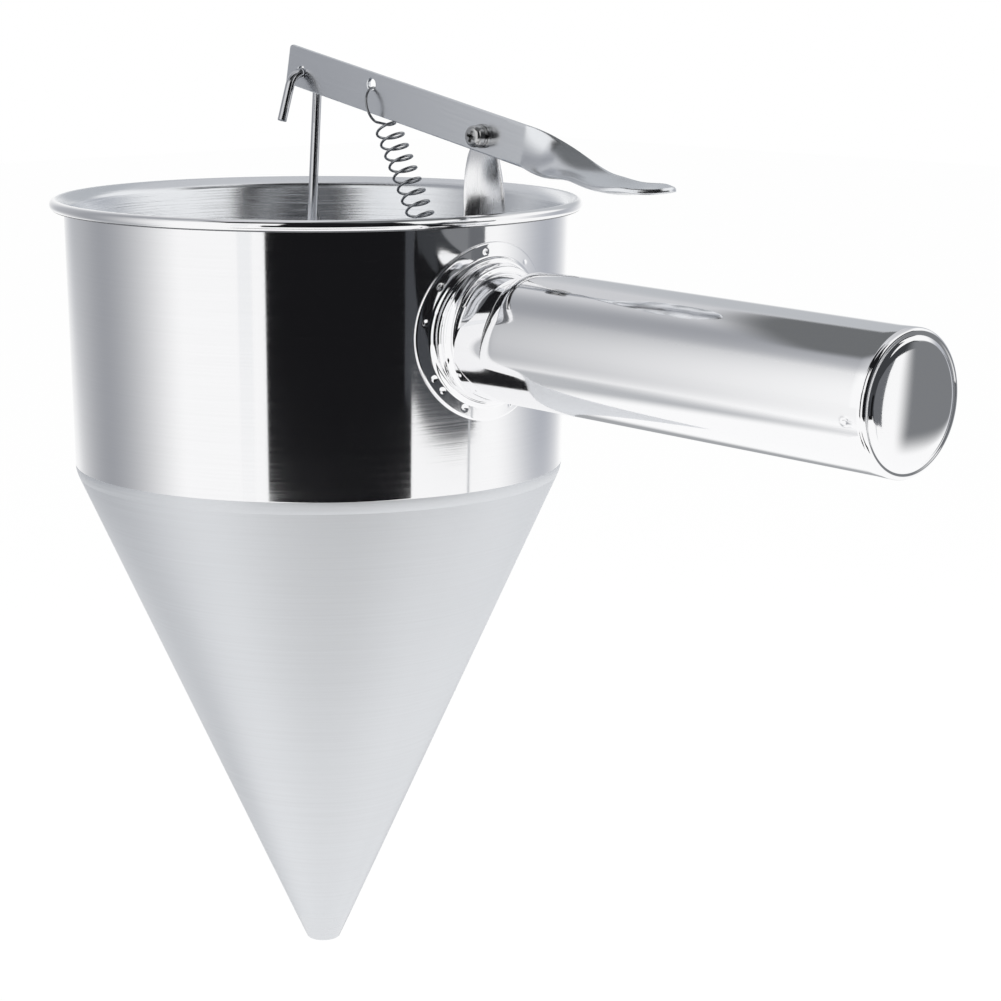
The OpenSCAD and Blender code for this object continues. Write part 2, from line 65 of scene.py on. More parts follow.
MM = 0.001


def joint_spot(name):
    """Where a joint's axis passes, in millimetres."""
    return Vector(next(j for j in frame["joints"] if j["name"] == name)["pos_m"]) / MM


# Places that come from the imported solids, in millimetres
RIM_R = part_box("cup_wall")[1][1] / MM
RIM_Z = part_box("cup_wall")[1][2] / MM
PIVOT = joint_spot("lever_pivot")
# How much the handle slopes down away from the bowl
HANDLE_SLOPE = math.radians(1.45)
# Gap between pieces that are welded or pressed together
WELD_GAP = 0.05
# Middle of the bracket's foot and ear, where the spring hooks in
EAR_Y = 0.8
# Edges that bend more than this are cut edges
CUT_ANGLE = math.radians(60)
# Points nearer to each other than this are one point
MERGE = 1e-4


def size(name, description, default):
    """A length in millimetres that a user can set in the panel."""
    return bpy.props.FloatProperty(
        name=name, description=description, default=default, min=0.0, max=1000.0,
    )


def colour(name, description, code):
    """A colour that a user can set in the panel, given as an sRGB hex value."""
    return bpy.props.FloatVectorProperty(
        name=name, description=description, default=from_hex(code)[:3], size=3,
        subtype="COLOR", min=0.0, max=1.0,
    )


def from_hex(code):
    """An sRGB hex value as linear red, green, blue and alpha."""
    parts = [int(code[i : i + 2], 16) / 255 for i in (1, 3, 5)]
    linear = [c / 12.92 if c <= 0.04045 else ((c + 0.055) / 1.055) ** 2.4 for c in parts]
    return (*linear, 1.0)


class DispenserBowl(bpy.types.PropertyGroup):
    """Sizes of the bowl, in millimetres."""

    rim_r: size("Rim radius", "Outside radius of the rolled rim", RIM_R)
    rim_z: size("Rim height", "Height of the top of the rim", RIM_Z)
    roll_r: size("Roll radius", "Outside radius of the roll on the rim", 1.55)
    flare_h: size("Flare height", "Height over which the wall turns out into the roll", 3.4)
    corner_z: size("Corner height", "Height of the corner between the cone and the wall", 137.7)
    corner_r: size("Corner radius", "Outside radius of the bowl at that corner", 67.0)
    top_r: size("Top radius", "Outside radius of the wall right under the roll", 68.65)
    bend_r: size("Bend radius", "Outside radius of the bend between cone and wall", 9.0)
    tip_r: size("Tip radius", "Outside radius of the cone at the outlet's face", 4.47)
    tip_z: size("Tip height", "Height of the turned tip", 8.0)
    sheet: size("Sheet", "Thickness of the sheet metal", 0.8)


class DispenserHandle(bpy.types.PropertyGroup):
    """Sizes of the handle, in millimetres."""

    axis_z: size("Axis height", "Height of the handle's axis at the wall", 181.0)
    tube_r: size("Tube radius", "Outside radius of the grip", 17.5)
    tube_len: size("Tube length", "Distance from the wall to the seam of the cap", 135.0)
    neck_len: size("Neck length", "Distance from the wall to the foot of the shoulder", 13.4)
    neck_step: size("Neck step", "How far the neck lies below the tube on its upper side", 2.5)
    shoulder: size("Shoulder", "Length of the rounded shoulder", 5.2)
    plate_r: size("Plate radius", "Radius of the plate on the wall", 23.3)
    sheet: size("Sheet", "Wall thickness of tube and neck", 0.8)


class DispenserLever(bpy.types.PropertyGroup):
    """Sizes of the lever and its bracket, in millimetres."""

    slope: bpy.props.FloatProperty(
        name="Slope", description="Slope of the pressed lever", default=math.radians(11.15),
        subtype="ANGLE",
    )
    width: size("Width", "Width of the strip", 10.8)
    thick: size("Thickness", "Thickness of the strip", 1.2)
    rise: size("Rise", "Height of the strip's middle line above the pivot", 0.95)
    front: size("Front", "Distance from the pivot to the front end", 77.96)
    rod_arm: size("Rod arm", "Distance from the pivot to the rod's hole", 71.96)
    spring_arm: size("Spring arm", "Distance from the pivot to the spring's hole", 43.7)
    spring_up: size("Spring hole height", "Height of the spring's hole above the pivot", 3.15)
    twist_from: size("Twist start", "Distance from the pivot to the quarter twist", 14.6)
    twist_len: size("Twist length", "Length of the quarter twist", 26.0)
    twist_over: size("Twist overlap", "How far the quarter twist runs on into the thumb pad", 4.0)
    pad_len: size("Pad length", "Length of the thumb pad", 28.4)
    pad_w: size("Pad width", "Width of the thumb pad", 18.0)
    pad_dish: size("Pad dish", "Depth of the dish in the thumb pad", 1.4)
    bracket_w: size("Bracket width", "Width of the bracket strip", 10.6)


class DispenserFinish(bpy.types.PropertyGroup):
    """Colours of the steel finishes."""

    polished: colour("Polished", "Colour of the polished steel", "#F9F9FA")
    satin: colour("Satin", "Colour of the satin brushed steel", "#EBEDF0")
    turned: colour("Turned", "Colour of the turned tip and plug", "#E3E5E8")
    strip: colour("Strip", "Colour of the rolled strip", "#EBEDF0")
    # Painted shade: the dark colour of the roll's underside under the rim
    painted_rim_shade: colour("Painted_rim_shade", "Colour of the sheet under the rim", "#6E7074")
    wire: colour("Wire", "Colour of the drawn wire", "#D0D1D4")
    spring: colour("Spring", "Colour of the spring wire", "#A5A7AA")
    fastener: colour("Fasteners", "Colour of the screw, nut and washers", "#C4C4C4")


# ---- shapes ----


def arc(centre, radius, start, end, count):
    """Points of an arc in a profile, with angles in degrees."""
    turns = [math.radians(start + (end - start) * i / count) for i in range(count + 1)]
    return [(centre[0] + radius * math.cos(a), centre[1] + radius * math.sin(a)) for a in turns]


def sheet_profile(path, thick):
    """A closed outline of sheet metal with the given middle line."""
    sides = ([], [])
    for i, point in enumerate(path):
        before, after = path[max(i - 1, 0)], path[min(i + 1, len(path) - 1)]
        along = Vector((after[0] - before[0], after[1] - before[1])).normalized()
        off = Vector((along.y, -along.x)) * thick / 2
        sides[0].append((point[0] + off.x, point[1] + off.y))
        sides[1].append((point[0] - off.x, point[1] - off.y))
    return sides[0] + sides[1][::-1]


def lathe(profile, steps=192, closed=True):
    """A profile of (radius, height) spun a full turn about Z."""
    bm = bmesh.new()
    verts = [bm.verts.new((r, 0.0, z)) for r, z in profile]
    pairs = list(zip(verts, verts[1:])) + ([(verts[-1], verts[0])] if closed else [])
    edges = [bm.edges.new(pair) for pair in pairs]
    bmesh.ops.spin(
        bm, geom=verts + edges, cent=(0, 0, 0), axis=(0, 0, 1), angle=math.tau,
        steps=steps, use_merge=True,
    )
    bmesh.ops.remove_doubles(bm, verts=bm.verts, dist=MERGE)
    bmesh.ops.recalc_face_normals(bm, faces=bm.faces)
    return bm


def along_handle(h):
    """The turn and place that set a shape drawn along +Z on the handle's axis."""
    foot = Vector((wall_r(h.axis_z), 0, h.axis_z))
    return Matrix.Translation(foot) @ Matrix.Rotation(math.radians(90) + HANDLE_SLOPE, 4, "Y")


def on_pivot(y):
    """The turn and place that set a shape drawn along +Z on the pivot's axis, towards +Y."""
    return Matrix.Translation((PIVOT.x, y, PIVOT.z)) @ Matrix.Rotation(math.radians(-90), 4, "X")


def wall_r(z):
    """Outside radius of the bowl's wall at a height."""
    b = bpy.context.scene.dispenser_bowl
    low, high = b.corner_z, b.rim_z - b.flare_h
    return b.top_r - (high - z) * (b.top_r - b.corner_r) / (high - low)


def wall_draft(b):
    """Angle by which the wall leans outwards."""
    return math.atan((b.top_r - b.corner_r) / (b.rim_z - b.flare_h - b.corner_z))


def cone_lean(b):
    """Angle of the cone's side from the upright."""
    return math.atan((b.corner_r - b.tip_r) / b.corner_z)


def bend_reach(b):
    """How far the bend between cone and wall runs along each of them."""
    return b.bend_r * math.tan((cone_lean(b) - wall_draft(b)) / 2)


def ease(t):
    """A smooth step from 0 to 1."""
    t = min(1.0, max(0.0, t))
    return t * t * (3 - 2 * t)


def shade(bm, crease):
    """Shades curved faces smoothly up to a crease angle, and leaves flat areas flat."""
    bm.normal_update()
    # Bends between these two belong to a curve, and faces below this area are never flat ones
    curved, level, small = math.radians(8), math.radians(0.05), 0.3
    for face in bm.faces:
        bends = [edge.calc_face_angle(0.0) for edge in face.edges]
        flat = min(bends) < level and not any(level < bend < curved for bend in bends)
        face.smooth = not (flat and face.calc_area() > small)
    for edge in bm.edges:
        edge.smooth = edge.calc_face_angle(0.0) < math.radians(crease)


def join(bm, other):
    """Adds another shape to this one."""
    spare = bpy.data.meshes.new("spare")
    other.to_mesh(spare)
    other.free()
    bm.from_mesh(spare)
    bpy.data.meshes.remove(spare)


def cut_edges(bm):
    """Edges where a cut face meets the faces beside it."""
    return [e for e in bm.edges if e.calc_face_angle(0.0) > CUT_ANGLE]


def soften(bm, edges, offset, segments=2):
    """Rounds sharp edges a little."""
    bmesh.ops.bevel(
        bm, geom=edges, offset=offset, offset_type="OFFSET", segments=segments,
        profile=0.5, affect="EDGES", material=-1,
    )


def make_object(bm, name):
    """Turns a shape into an object of the scene."""
    mesh = bpy.data.meshes.new(name)
    bm.to_mesh(mesh)
    bm.free()
    made = bpy.data.objects.new(name, mesh)
    bpy.context.scene.collection.objects.link(made)
    return made


def finish_piece(bm, name, body, material, node, crease=35.0):
    """Turns a shape in millimetres into a shaded object that stands for a CAD node.

    It rides on a body, or on none.
    """
    shade(bm, crease)
    bmesh.ops.scale(bm, vec=(MM, MM, MM), verts=bm.verts)
    piece = make_object(bm, name)
    piece.data.materials.append(material)
    if body:
        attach(piece, body)
    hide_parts(node)
    return piece


def wire_shape(points, radius, sides=16):
    """A round wire along a list of points, with closed flat ends."""
    bm = bmesh.new()
    heading = (points[1] - points[0]).normalized()
    start = Matrix.Translation(points[0]) @ heading.to_track_quat("Z", "Y").to_matrix().to_4x4()
    bmesh.ops.create_circle(bm, cap_ends=True, radius=radius, segments=sides, matrix=start)
    front = next(iter(bm.faces))
    for i in range(1, len(points)):
        after = points[min(i + 1, len(points) - 1)]
        ahead = (after - points[i - 1]).normalized()
        made = bmesh.ops.extrude_face_region(bm, geom=[front])
        behind = front
        front = next(g for g in made["geom"] if isinstance(g, bmesh.types.BMFace))
        moved = list(front.verts)
        bmesh.ops.translate(bm, vec=points[i] - points[i - 1], verts=moved)
        bend = heading.rotation_difference(ahead).to_matrix()
        bmesh.ops.rotate(bm, cent=points[i], matrix=bend, verts=moved)
        if i > 1:
            bmesh.ops.delete(bm, geom=[behind], context="FACES_ONLY")
        heading = ahead
    bmesh.ops.recalc_face_normals(bm, faces=bm.faces)
    return bm


# ---- finishes ----


def add(tree, kind, inputs=None, **settings):
    """Adds a node with its settings, its values and the links into it."""
    made = tree.nodes.new(kind)
    for key, value in settings.items():
        setattr(made, key, value)
    for key, value in (inputs or {}).items():
        if isinstance(value, bpy.types.NodeSocket):
            tree.links.new(value, made.inputs[key])
        else:
            made.inputs[key].default_value = value
    return made


def new_material(name):
    """An empty node material and its output node."""
    made = bpy.data.materials.new(name)
    made.use_nodes = True
    made.node_tree.nodes.clear()
    return made, made.node_tree, add(made.node_tree, "ShaderNodeOutputMaterial")


def steel(name, tint, rough, spread, across, line, depth, soft=0.0, slope=0.0, burr=0.0):
    """Stainless steel: parallel lines over a polished or satin ground, with faint clouding.

    rough and spread are the middle and half the range of the roughness. across says how fast
    the lines change along X, Y and Z, line is their spacing and depth how deep they are, both
    in millimetres. soft is how much darker the lines' floors are painted, which is painted
    shade in the grooves; slope turns the lines about Y, and burr leans their flanks upwards.
    """
    if name in bpy.data.materials:
        return bpy.data.materials[name]
    made, tree, out = new_material(name)
    place = add(tree, "ShaderNodeTexCoord").outputs["Object"]
    steps = {"Vector": place, "Rotation": (0, slope, 0), "Scale": [line * MM / a for a in across]}
    scaled = add(tree, "ShaderNodeMapping", steps, vector_type="TEXTURE").outputs["Vector"]
    grain = {"Vector": scaled, "Scale": 1.0, "Detail": 3.0}
    lines = add(tree, "ShaderNodeTexNoise", grain).outputs["Fac"]
    # Uneven pressure of the polishing wheel leaves clouds about 40 mm wide
    cloud_w = 40.0
    clouds = {"Vector": place, "Scale": 1 / (cloud_w * MM), "Detail": 2.0}
    cloud = add(tree, "ShaderNodeTexNoise", clouds).outputs["Fac"]
    shares = {"Factor": 0.35, "A": lines, "B": cloud}
    worn = add(tree, "ShaderNodeMix", shares, data_type="FLOAT").outputs["Result"]
    # Most of the noise lies between these two values
    low, high = 0.3, 0.7
    span = {"From Min": low, "From Max": high, "To Min": rough - spread, "To Max": rough + spread}
    gloss = add(tree, "ShaderNodeMapRange", {"Value": worn, **span}).outputs["Result"]
    full = [*tint[:3], 1.0]
    # Painted shade: the lines' floors are painted darker by the share soft
    dark = [*(c * (1.0 - soft) for c in tint[:3]), 1.0]
    blend = add(tree, "ShaderNodeMix", {"Factor": lines, 6: dark, 7: full}, data_type="RGBA")
    height = {"Height": lines, "Strength": 1.0, "Distance": depth * MM}
    facing = add(tree, "ShaderNodeBump", height).outputs["Normal"]
    if burr:
        lean = {0: facing, 1: (0, 0, burr)}
        facing = add(tree, "ShaderNodeVectorMath", lean, operation="ADD").outputs[0]
        facing = add(tree, "ShaderNodeVectorMath", {0: facing}, operation="NORMALIZE").outputs[0]
    look = {"Base Color": blend.outputs[2], "Metallic": 1.0, "Roughness": gloss, "Normal": facing}
    shader = add(tree, "ShaderNodeBsdfPrincipled", look)
    tree.links.new(shader.outputs["BSDF"], out.inputs["Surface"])
    return made


# How fast lines change along X, Y and Z
ROUND = (0.012, 0.012, 1.0)
LENGTHWISE = (0.05, 1.0, 1.0)
EVEN = (1.0, 1.0, 1.0)


def polished_wall_steel():
    """Polished stainless sheet: it mirrors the room, softened a little by level polishing lines."""
    # Lines of about 0.1 mm are drawn 0.45 mm apart so that they show
    tint = bpy.context.scene.dispenser_finish.polished
    return steel("polished stainless steel sheet", tint, 0.06, 0.02, ROUND, 0.45, 0.0012, 0.05)


def satin_inner_steel():
    """Satin brushed inside of the bowl: a one-sided burr draws every reflection out upwards."""
    # Lines of about 0.15 mm are drawn 0.4 mm apart so that they show
    tint = bpy.context.scene.dispenser_finish.satin
    name = "satin brushed stainless steel inside"
    return steel(name, tint, 0.2, 0.04, ROUND, 0.4, 0.05, 0.04, burr=0.13)


def painted_rim_shade_steel():
    """Painted shade on the roll's underside, which the wall mirrors as a dark line below the rim."""
    tint = bpy.context.scene.dispenser_finish.painted_rim_shade
    return steel("unpolished stainless steel", tint, 0.4, 0.05, ROUND, 0.6, 0.004, 0.1)


def satin_cone_steel():
    """Satin brushed stainless steel: pale and soft, with level lines round the cone."""
    # Lines of about 0.15 mm are drawn 0.55 mm apart so that they show
    tint = bpy.context.scene.dispenser_finish.satin
    return steel("satin brushed stainless steel", tint, 0.5, 0.05, ROUND, 0.55, 0.012, 0.1)


def mirror_tube_steel():
    """Mirror polished stainless steel: a clean image of the room with only a breath of haze."""
    # Polishing marks of about 0.05 mm are drawn 0.8 mm apart and very shallow
    tint = bpy.context.scene.dispenser_finish.polished
    name = "mirror polished stainless steel"
    return steel(name, tint, 0.05, 0.015, LENGTHWISE, 0.8, 0.0003, 0.01)


def rolled_strip_steel():
    """Rolled and tumbled stainless strip: a grey mirror with soft edges to its reflections."""
    # Rolling lines of about 0.1 mm are drawn 0.6 mm apart so that they show
    tint = bpy.context.scene.dispenser_finish.strip
    slope = bpy.context.scene.dispenser_lever.slope
    name, across = "tumbled stainless steel strip", (0.03, 1.0, 1.0)
    return steel(name, tint, 0.23, 0.03, across, 0.6, 0.001, 0.05, slope)


def polished_strip_steel():
    """Polished stainless strip with a few dull patches from bending."""
    # Rolling lines run up the strip and are drawn 0.9 mm apart so that they show
    tint, across = bpy.context.scene.dispenser_finish.polished, (1.0, 1.0, 0.1)
    return steel("polished stainless steel strip", tint, 0.24, 0.08, across, 0.9, 0.002, 0.08)


def drawn_wire_steel():
    """Drawn stainless wire: bright, with faint draw marks along its length."""
    # Draw marks of about 0.05 mm are drawn 0.6 mm apart and very shallow
    tint, across = bpy.context.scene.dispenser_finish.wire, (1.0, 1.0, 0.02)
    return steel("drawn stainless steel wire", tint, 0.14, 0.02, across, 0.6, 0.0002, 0.06)


def spring_wire_steel():
    """Hard drawn spring wire: darker than the rod, with a grey film left from coiling."""
    tint = bpy.context.scene.dispenser_finish.spring
    return steel("hard drawn stainless spring wire", tint, 0.12, 0.03, EVEN, 0.6, 0.0005, 0.1)


def fastener_steel():
    """Pressed and tumbled stainless fasteners: slightly uneven and less bright than the sheet."""
    tint = bpy.context.scene.dispenser_finish.fastener
    return steel("tumbled stainless steel fasteners", tint, 0.18, 0.05, EVEN, 0.5, 0.004, 0.1)


def turned_tip_steel():
    """Turned stainless steel with level tool marks."""
    # Tool marks of about 0.1 mm are drawn 0.3 mm apart so that they show
    tint, across = bpy.context.scene.dispenser_finish.turned, (0.02, 0.02, 1.0)
    return steel("turned stainless steel", tint, 0.3, 0.05, across, 0.3, 0.006, 0.1)


# ---- operators ----


def curve(start, knee, end, t):
    """A point of the curve that leaves start towards knee and comes into end from knee."""
    return start * (1 - t) ** 2 + knee * 2 * t * (1 - t) + end * t * t


class DISPENSER_OT_wall(bpy.types.Operator):
    """Bowl wall with its bend, its flare and its rolled rim"""

    bl_idname = "dispenser.wall"
    bl_label = "Bowl wall"

    def execute(self, context):
        b = context.scene.dispenser_bowl
        half, draft = b.sheet / 2, wall_draft(b)
        up_wall = Vector((math.sin(draft), math.cos(draft)))
        top = Vector((b.corner_r, b.corner_z)) + bend_reach(b) * up_wall
        centre = top + b.bend_r * Vector((-math.cos(draft), math.sin(draft)))
        lean = -math.degrees(cone_lean(b))
        path = arc(centre, b.bend_r - half, lean, -math.degrees(draft), 14)
        # The wall turns out into the roll, which goes over the top and stops short of the wall
        middle = Vector((b.rim_r - b.roll_r, b.rim_z - b.roll_r))
        roll = arc(middle, b.roll_r - half, 120, -170, 44)
        foot, end = Vector((b.top_r - half, b.rim_z - b.flare_h)), Vector(roll[0])
        into_roll = math.tan(math.radians(30))
        knee = Vector((foot.x, end.y - (end.x - foot.x) * into_roll))
        rows = 12
        path += [curve(foot, knee, end, i / rows) for i in range(rows)] + roll
        bm = lathe(sheet_profile(path, b.sheet), 256)
        bm.normal_update()
        # Slots after the polished outside: the inside, the bend over the cone, and the dull strip
        # under the roll, which is painted shade
        inside, brushed, dull = 1, 2, 3
        for face in bm.faces:
            spot = face.calc_center_median()
            outward = face.normal.dot(Vector((spot.x, spot.y, 0)).normalized())
            within = spot.xy.length < b.rim_r - b.roll_r
            if within and (outward < -0.4 or face.normal.z > 0.5):
                face.material_index = inside
            elif spot.z < b.corner_z + b.bend_r and face.normal.z < -0.04:
                face.material_index = brushed
            # The roll's underside gets the painted shade
            elif spot.z > foot.y and face.normal.z < -0.72:
                face.material_index = dull
        outside = polished_wall_steel()
        wall = finish_piece(bm, "bowl_wall", "dispenser", outside, "cup_wall")
        for finish in (satin_inner_steel(), satin_cone_steel(), painted_rim_shade_steel()):
            wall.data.materials.append(finish)
        return {"FINISHED"}


class DISPENSER_OT_cone(bpy.types.Operator):
    """Cone under the bowl wall, and the turned tip with its outlet and valve seat"""

    bl_idname = "dispenser.cone"
    bl_label = "Cone and outlet tip"

    def execute(self, context):
        b = context.scene.dispenser_bowl
        cone = cone_lean(b)
        wall = b.sheet / math.cos(cone)
        top_z = b.corner_z - bend_reach(b) * math.cos(cone)
        lift = b.sheet * math.sin(cone)

        def out(z):
            return b.tip_r + z * math.tan(cone)

        # The weld between cone and wall leaves a groove
        groove = 0.12
        profile = [
            (out(b.tip_z), b.tip_z),
            (out(top_z - 3 * groove), top_z - 3 * groove),
            (out(top_z - groove) - groove, top_z - groove),
            (out(top_z) - groove, top_z),
            (out(top_z + lift) - wall, top_z + lift),
            (out(b.tip_z) - wall, b.tip_z),
        ]
        brushed, turned = satin_cone_steel(), turned_tip_steel()
        finish_piece(lathe(profile, 256), "cone", "dispenser", brushed, "funnel_cone")

        # Tip: a bore that opens upwards into the seat, a round lip, and a spigot in the cone
        bore_r, bore_z, chamfer = 3.0, 5.0, 0.25
        round_r, round_in, round_z = 1.0, 1.15, 0.9
        spigot, seat_lip, step = b.tip_z + 5.0, 0.9, 0.02
        fit = wall + WELD_GAP
        tip = [(bore_r, chamfer), (bore_r + chamfer, 0.0)]
        tip += arc((out(round_z) - round_in, round_r), round_r, -90, -math.degrees(cone), 8)
        tip += [(out(b.tip_z) - step, b.tip_z), (out(b.tip_z) - fit, b.tip_z)]
        tip += [(out(spigot) - fit, spigot), (out(spigot) - wall - seat_lip, spigot)]
        tip += [(bore_r, bore_z)]
        name = "outlet_tip_turned"
        finish_piece(lathe(tip, 128), name, "dispenser", turned, "outlet_tip")
        return {"FINISHED"}


class DISPENSER_OT_plate(bpy.types.Operator):
    """Round plate that hugs the wall, with its pressed ridges and weld dimples"""

    bl_idname = "dispenser.plate"
    bl_label = "Handle plate"

    def execute(self, context):
        h = context.scene.dispenser_handle
        r, hole_r, front = h.plate_r, 15.4, 0.45
        # Distances from the plate's centre and heights above the wall: the rounded edge, a
        # face that rises slowly, the outer ridge, a groove and the inner ridge
        profile = [(hole_r, 0.0), (r - 0.08, 0.0), (r, 0.08), (r, 0.3), (r - 0.06, front)]
        profile += [(r - 0.2, 0.5)] + [(22.8 - 0.25 * i, 0.52 + 0.005 * i) for i in range(13)]
        profile += [(19.55, 0.7), (19.3, 1.1), (19.05, 1.45), (18.8, 1.55), (18.5, 1.5)]
        profile += [(18.25, 1.4), (18.0, 1.5), (17.75, 1.9), (17.5, 2.2), (17.2, 2.3)]
        profile += [(hole_r, 2.3)]
        bm = lathe(profile, 384)
        ring_r, spot_r, deep = 21.1, 0.85, 0.2
        turns = [math.radians(a) for a in (12, 54, 98, 143, 170, 211, 222, 245, 290, 332)]
        spots = [Vector((math.cos(a), math.sin(a))) * ring_r for a in turns]
        for v in bm.verts:
            if v.co.z >= front:
                for spot in spots:
                    v.co.z -= deep * ease(1 - (v.co.xy - spot).length / spot_r)
        for v in bm.verts:
            across, up, height = v.co
            z = h.axis_z + up
            far = wall_r(z) + WELD_GAP + height
            v.co = (math.sqrt(far**2 - across**2), across, z)
        bmesh.ops.recalc_face_normals(bm, faces=bm.faces)
        mirror = mirror_tube_steel()
        finish_piece(bm, "handle_plate", "dispenser", mirror, "handle_flange", 50)
        return {"FINISHED"}


def step_down(h, v):
    """How far the neck lies inside the tube, by the angle from the handle's upper side."""
    angle = abs(math.degrees(math.atan2(v.co.y, -v.co.x)))
    level, blend = 112, 62
    return h.neck_step * ease((level - angle) / blend)


def pull_in(v, down):
    """Moves a point towards the handle's axis."""
    radius = v.co.xy.length
    v.co.xy *= (radius - down) / radius


def neck_shape(h, place):
    """Neck: its upper side lies lower than the tube, and its lower side runs into it."""
    r, inner, rows = h.tube_r, h.tube_r - h.sheet, 14
    root, foot = -3.0, 3.0
    shaft = [(r, foot + (h.neck_len - foot) * i / rows) for i in range(rows + 1)]
    bm = lathe([(inner, root), (r, root)] + shaft + [(inner, h.neck_len)], 160)
    fade_from, fade = -1.0, 4.0
    for v in bm.verts:
        pull_in(v, step_down(h, v) * ease((v.co.z - fade_from) / fade))
    # Collar on the plate: a low flange, then a rounded shoulder
    ring = [(r - 1.2, 0.4), (r + 0.6, 0.4), (r + 0.6, 1.5), (r + 0.45, 1.9), (r + 0.1, 2.3)]
    ring += arc((r - 0.65, 3.6), 0.6, 0, 90, 6)
    ring += [(r - 1.5, 4.3), (r - 2.2, 4.4), (r - 2.2, 0.4)]
    join(bm, lathe(ring, 160))
    # Nothing reaches nearer to the bowl's wall than this
    clear = 1.2
    for v in bm.verts:
        spot = place @ v.co
        hug = wall_r(spot.z) + clear
        if spot.xy.length < hug:
            spot.x = math.sqrt(max(0.0, hug**2 - spot.y**2))
        v.co = spot
    return bm


def tube_shape(h):
    """Tube: a shoulder rounds up from the neck, then the grip runs straight to the cap."""
    r, inner, start = h.tube_r, h.tube_r - h.sheet, h.neck_len
    rounds, rows = 12, 40
    turns = [math.radians(90 * i / rounds) for i in range(rounds + 1)]
    rise = [(r, start + h.shoulder * (1 - math.cos(a))) for a in turns]
    straight, stop = start + h.shoulder + 2.0, h.tube_len - 0.5
    grip = [(r, straight + (stop - straight) * i / rows) for i in range(rows + 1)]
    end = [(r - 0.06, h.tube_len - 0.22), (r - 0.25, h.tube_len), (inner, h.tube_len)]
    back = [(inner, start + h.shoulder + 3.0)]
    bm = lathe([(inner - h.neck_step, start)] + rise + grip + end + back, 192)
    for v in bm.verts:
        up = (v.co.z - start) / h.shoulder
        if v.co.xy.length > r - 0.01 and up < 1:
            pull_in(v, step_down(h, v) * (1 - math.sqrt(max(0.0, 1 - (1 - up) ** 2))))
    add_weld_spot(bm, h)
    return bm


def add_weld_spot(bm, h):
    """Sinks a small weld spot with a raised edge into the tube's side near the cap."""
    r, side = h.tube_r, math.radians(9)
    spot = Vector((r * math.sin(side), -r * math.cos(side), h.tube_len - 4.2))
    near = [e for e in bm.edges if (e.verts[0].co - spot).length < 3.6]
    fine = [e for e in near if e.verts[0].co.xy.length > r - 0.05]
    bmesh.ops.subdivide_edges(bm, edges=fine, cuts=5, use_grid_fill=True)
    deep, pit_r, high, lip_r, lip_w = 0.42, 0.9, 0.1, 1.0, 0.25
    for v in bm.verts:
        far = (v.co - spot).length
        if far < 1.6 and v.co.xy.length > r - 0.1:
            lip = high * math.exp(-(((far - lip_r) / lip_w) ** 2))
            v.co.xy *= 1 - (deep * ease(1 - far / pit_r) - lip) / r


def cap_shape(h):
    """Cap: a rounded ring, a fine groove and a slightly domed disc."""
    r, seat, skirt = h.tube_r, h.tube_len + WELD_GAP, 5.0
    skirt_r = r - h.sheet - WELD_GAP
    cap = [(skirt_r, seat - skirt), (skirt_r, seat), (r - 0.35, seat)]
    cap += arc((r - 1.05, seat), 1.05, 8, 78, 9)
    cap += [(r - 1.15, seat + 0.98), (r - 1.45, seat + 0.86), (r - 1.7, seat + 0.84)]
    cap += [(r - 1.95, seat + 0.93), (r - 2.25, seat + 1.14)]
    disc_r, disc_z, dome, rounds = r - 2.6, seat + 1.25, 0.85, 14
    turns = [math.radians(90 * i / rounds) for i in range(rounds + 1)]
    cap += [(disc_r * math.cos(a), disc_z + dome * math.sin(a)) for a in turns]
    inner = r - 2 * h.sheet - 0.1
    cap += [(0.0, seat + 0.4), (inner, seat + 0.1), (inner, seat - skirt)]
    return lathe(cap, 192)


class DISPENSER_OT_grip(bpy.types.Operator):
    """Neck, grip tube with its shoulder, and the end cap"""

    bl_idname = "dispenser.grip"
    bl_label = "Handle neck, tube and cap"

    def execute(self, context):
        h = context.scene.dispenser_handle
        place, mirror = along_handle(h), mirror_tube_steel()
        neck = neck_shape(h, place)
        finish_piece(neck, "neck", "dispenser", mirror, "handle_neck", 40)
        parts = (("grip_tube", tube_shape(h), "handle_tube"), ("end_cap", cap_shape(h), "handle_cap"))
        for name, bm, node in parts:
            bmesh.ops.transform(bm, matrix=place, verts=bm.verts)
            finish_piece(bm, name, "dispenser", mirror, node, 40)
        return {"FINISHED"}


def pull_edge(bm, edges):
    """Extrudes a row of edges and returns the new row."""
    made = bmesh.ops.extrude_edge_only(bm, edges=edges)
    return [g for g in made["geom"] if isinstance(g, bmesh.types.BMEdge)]


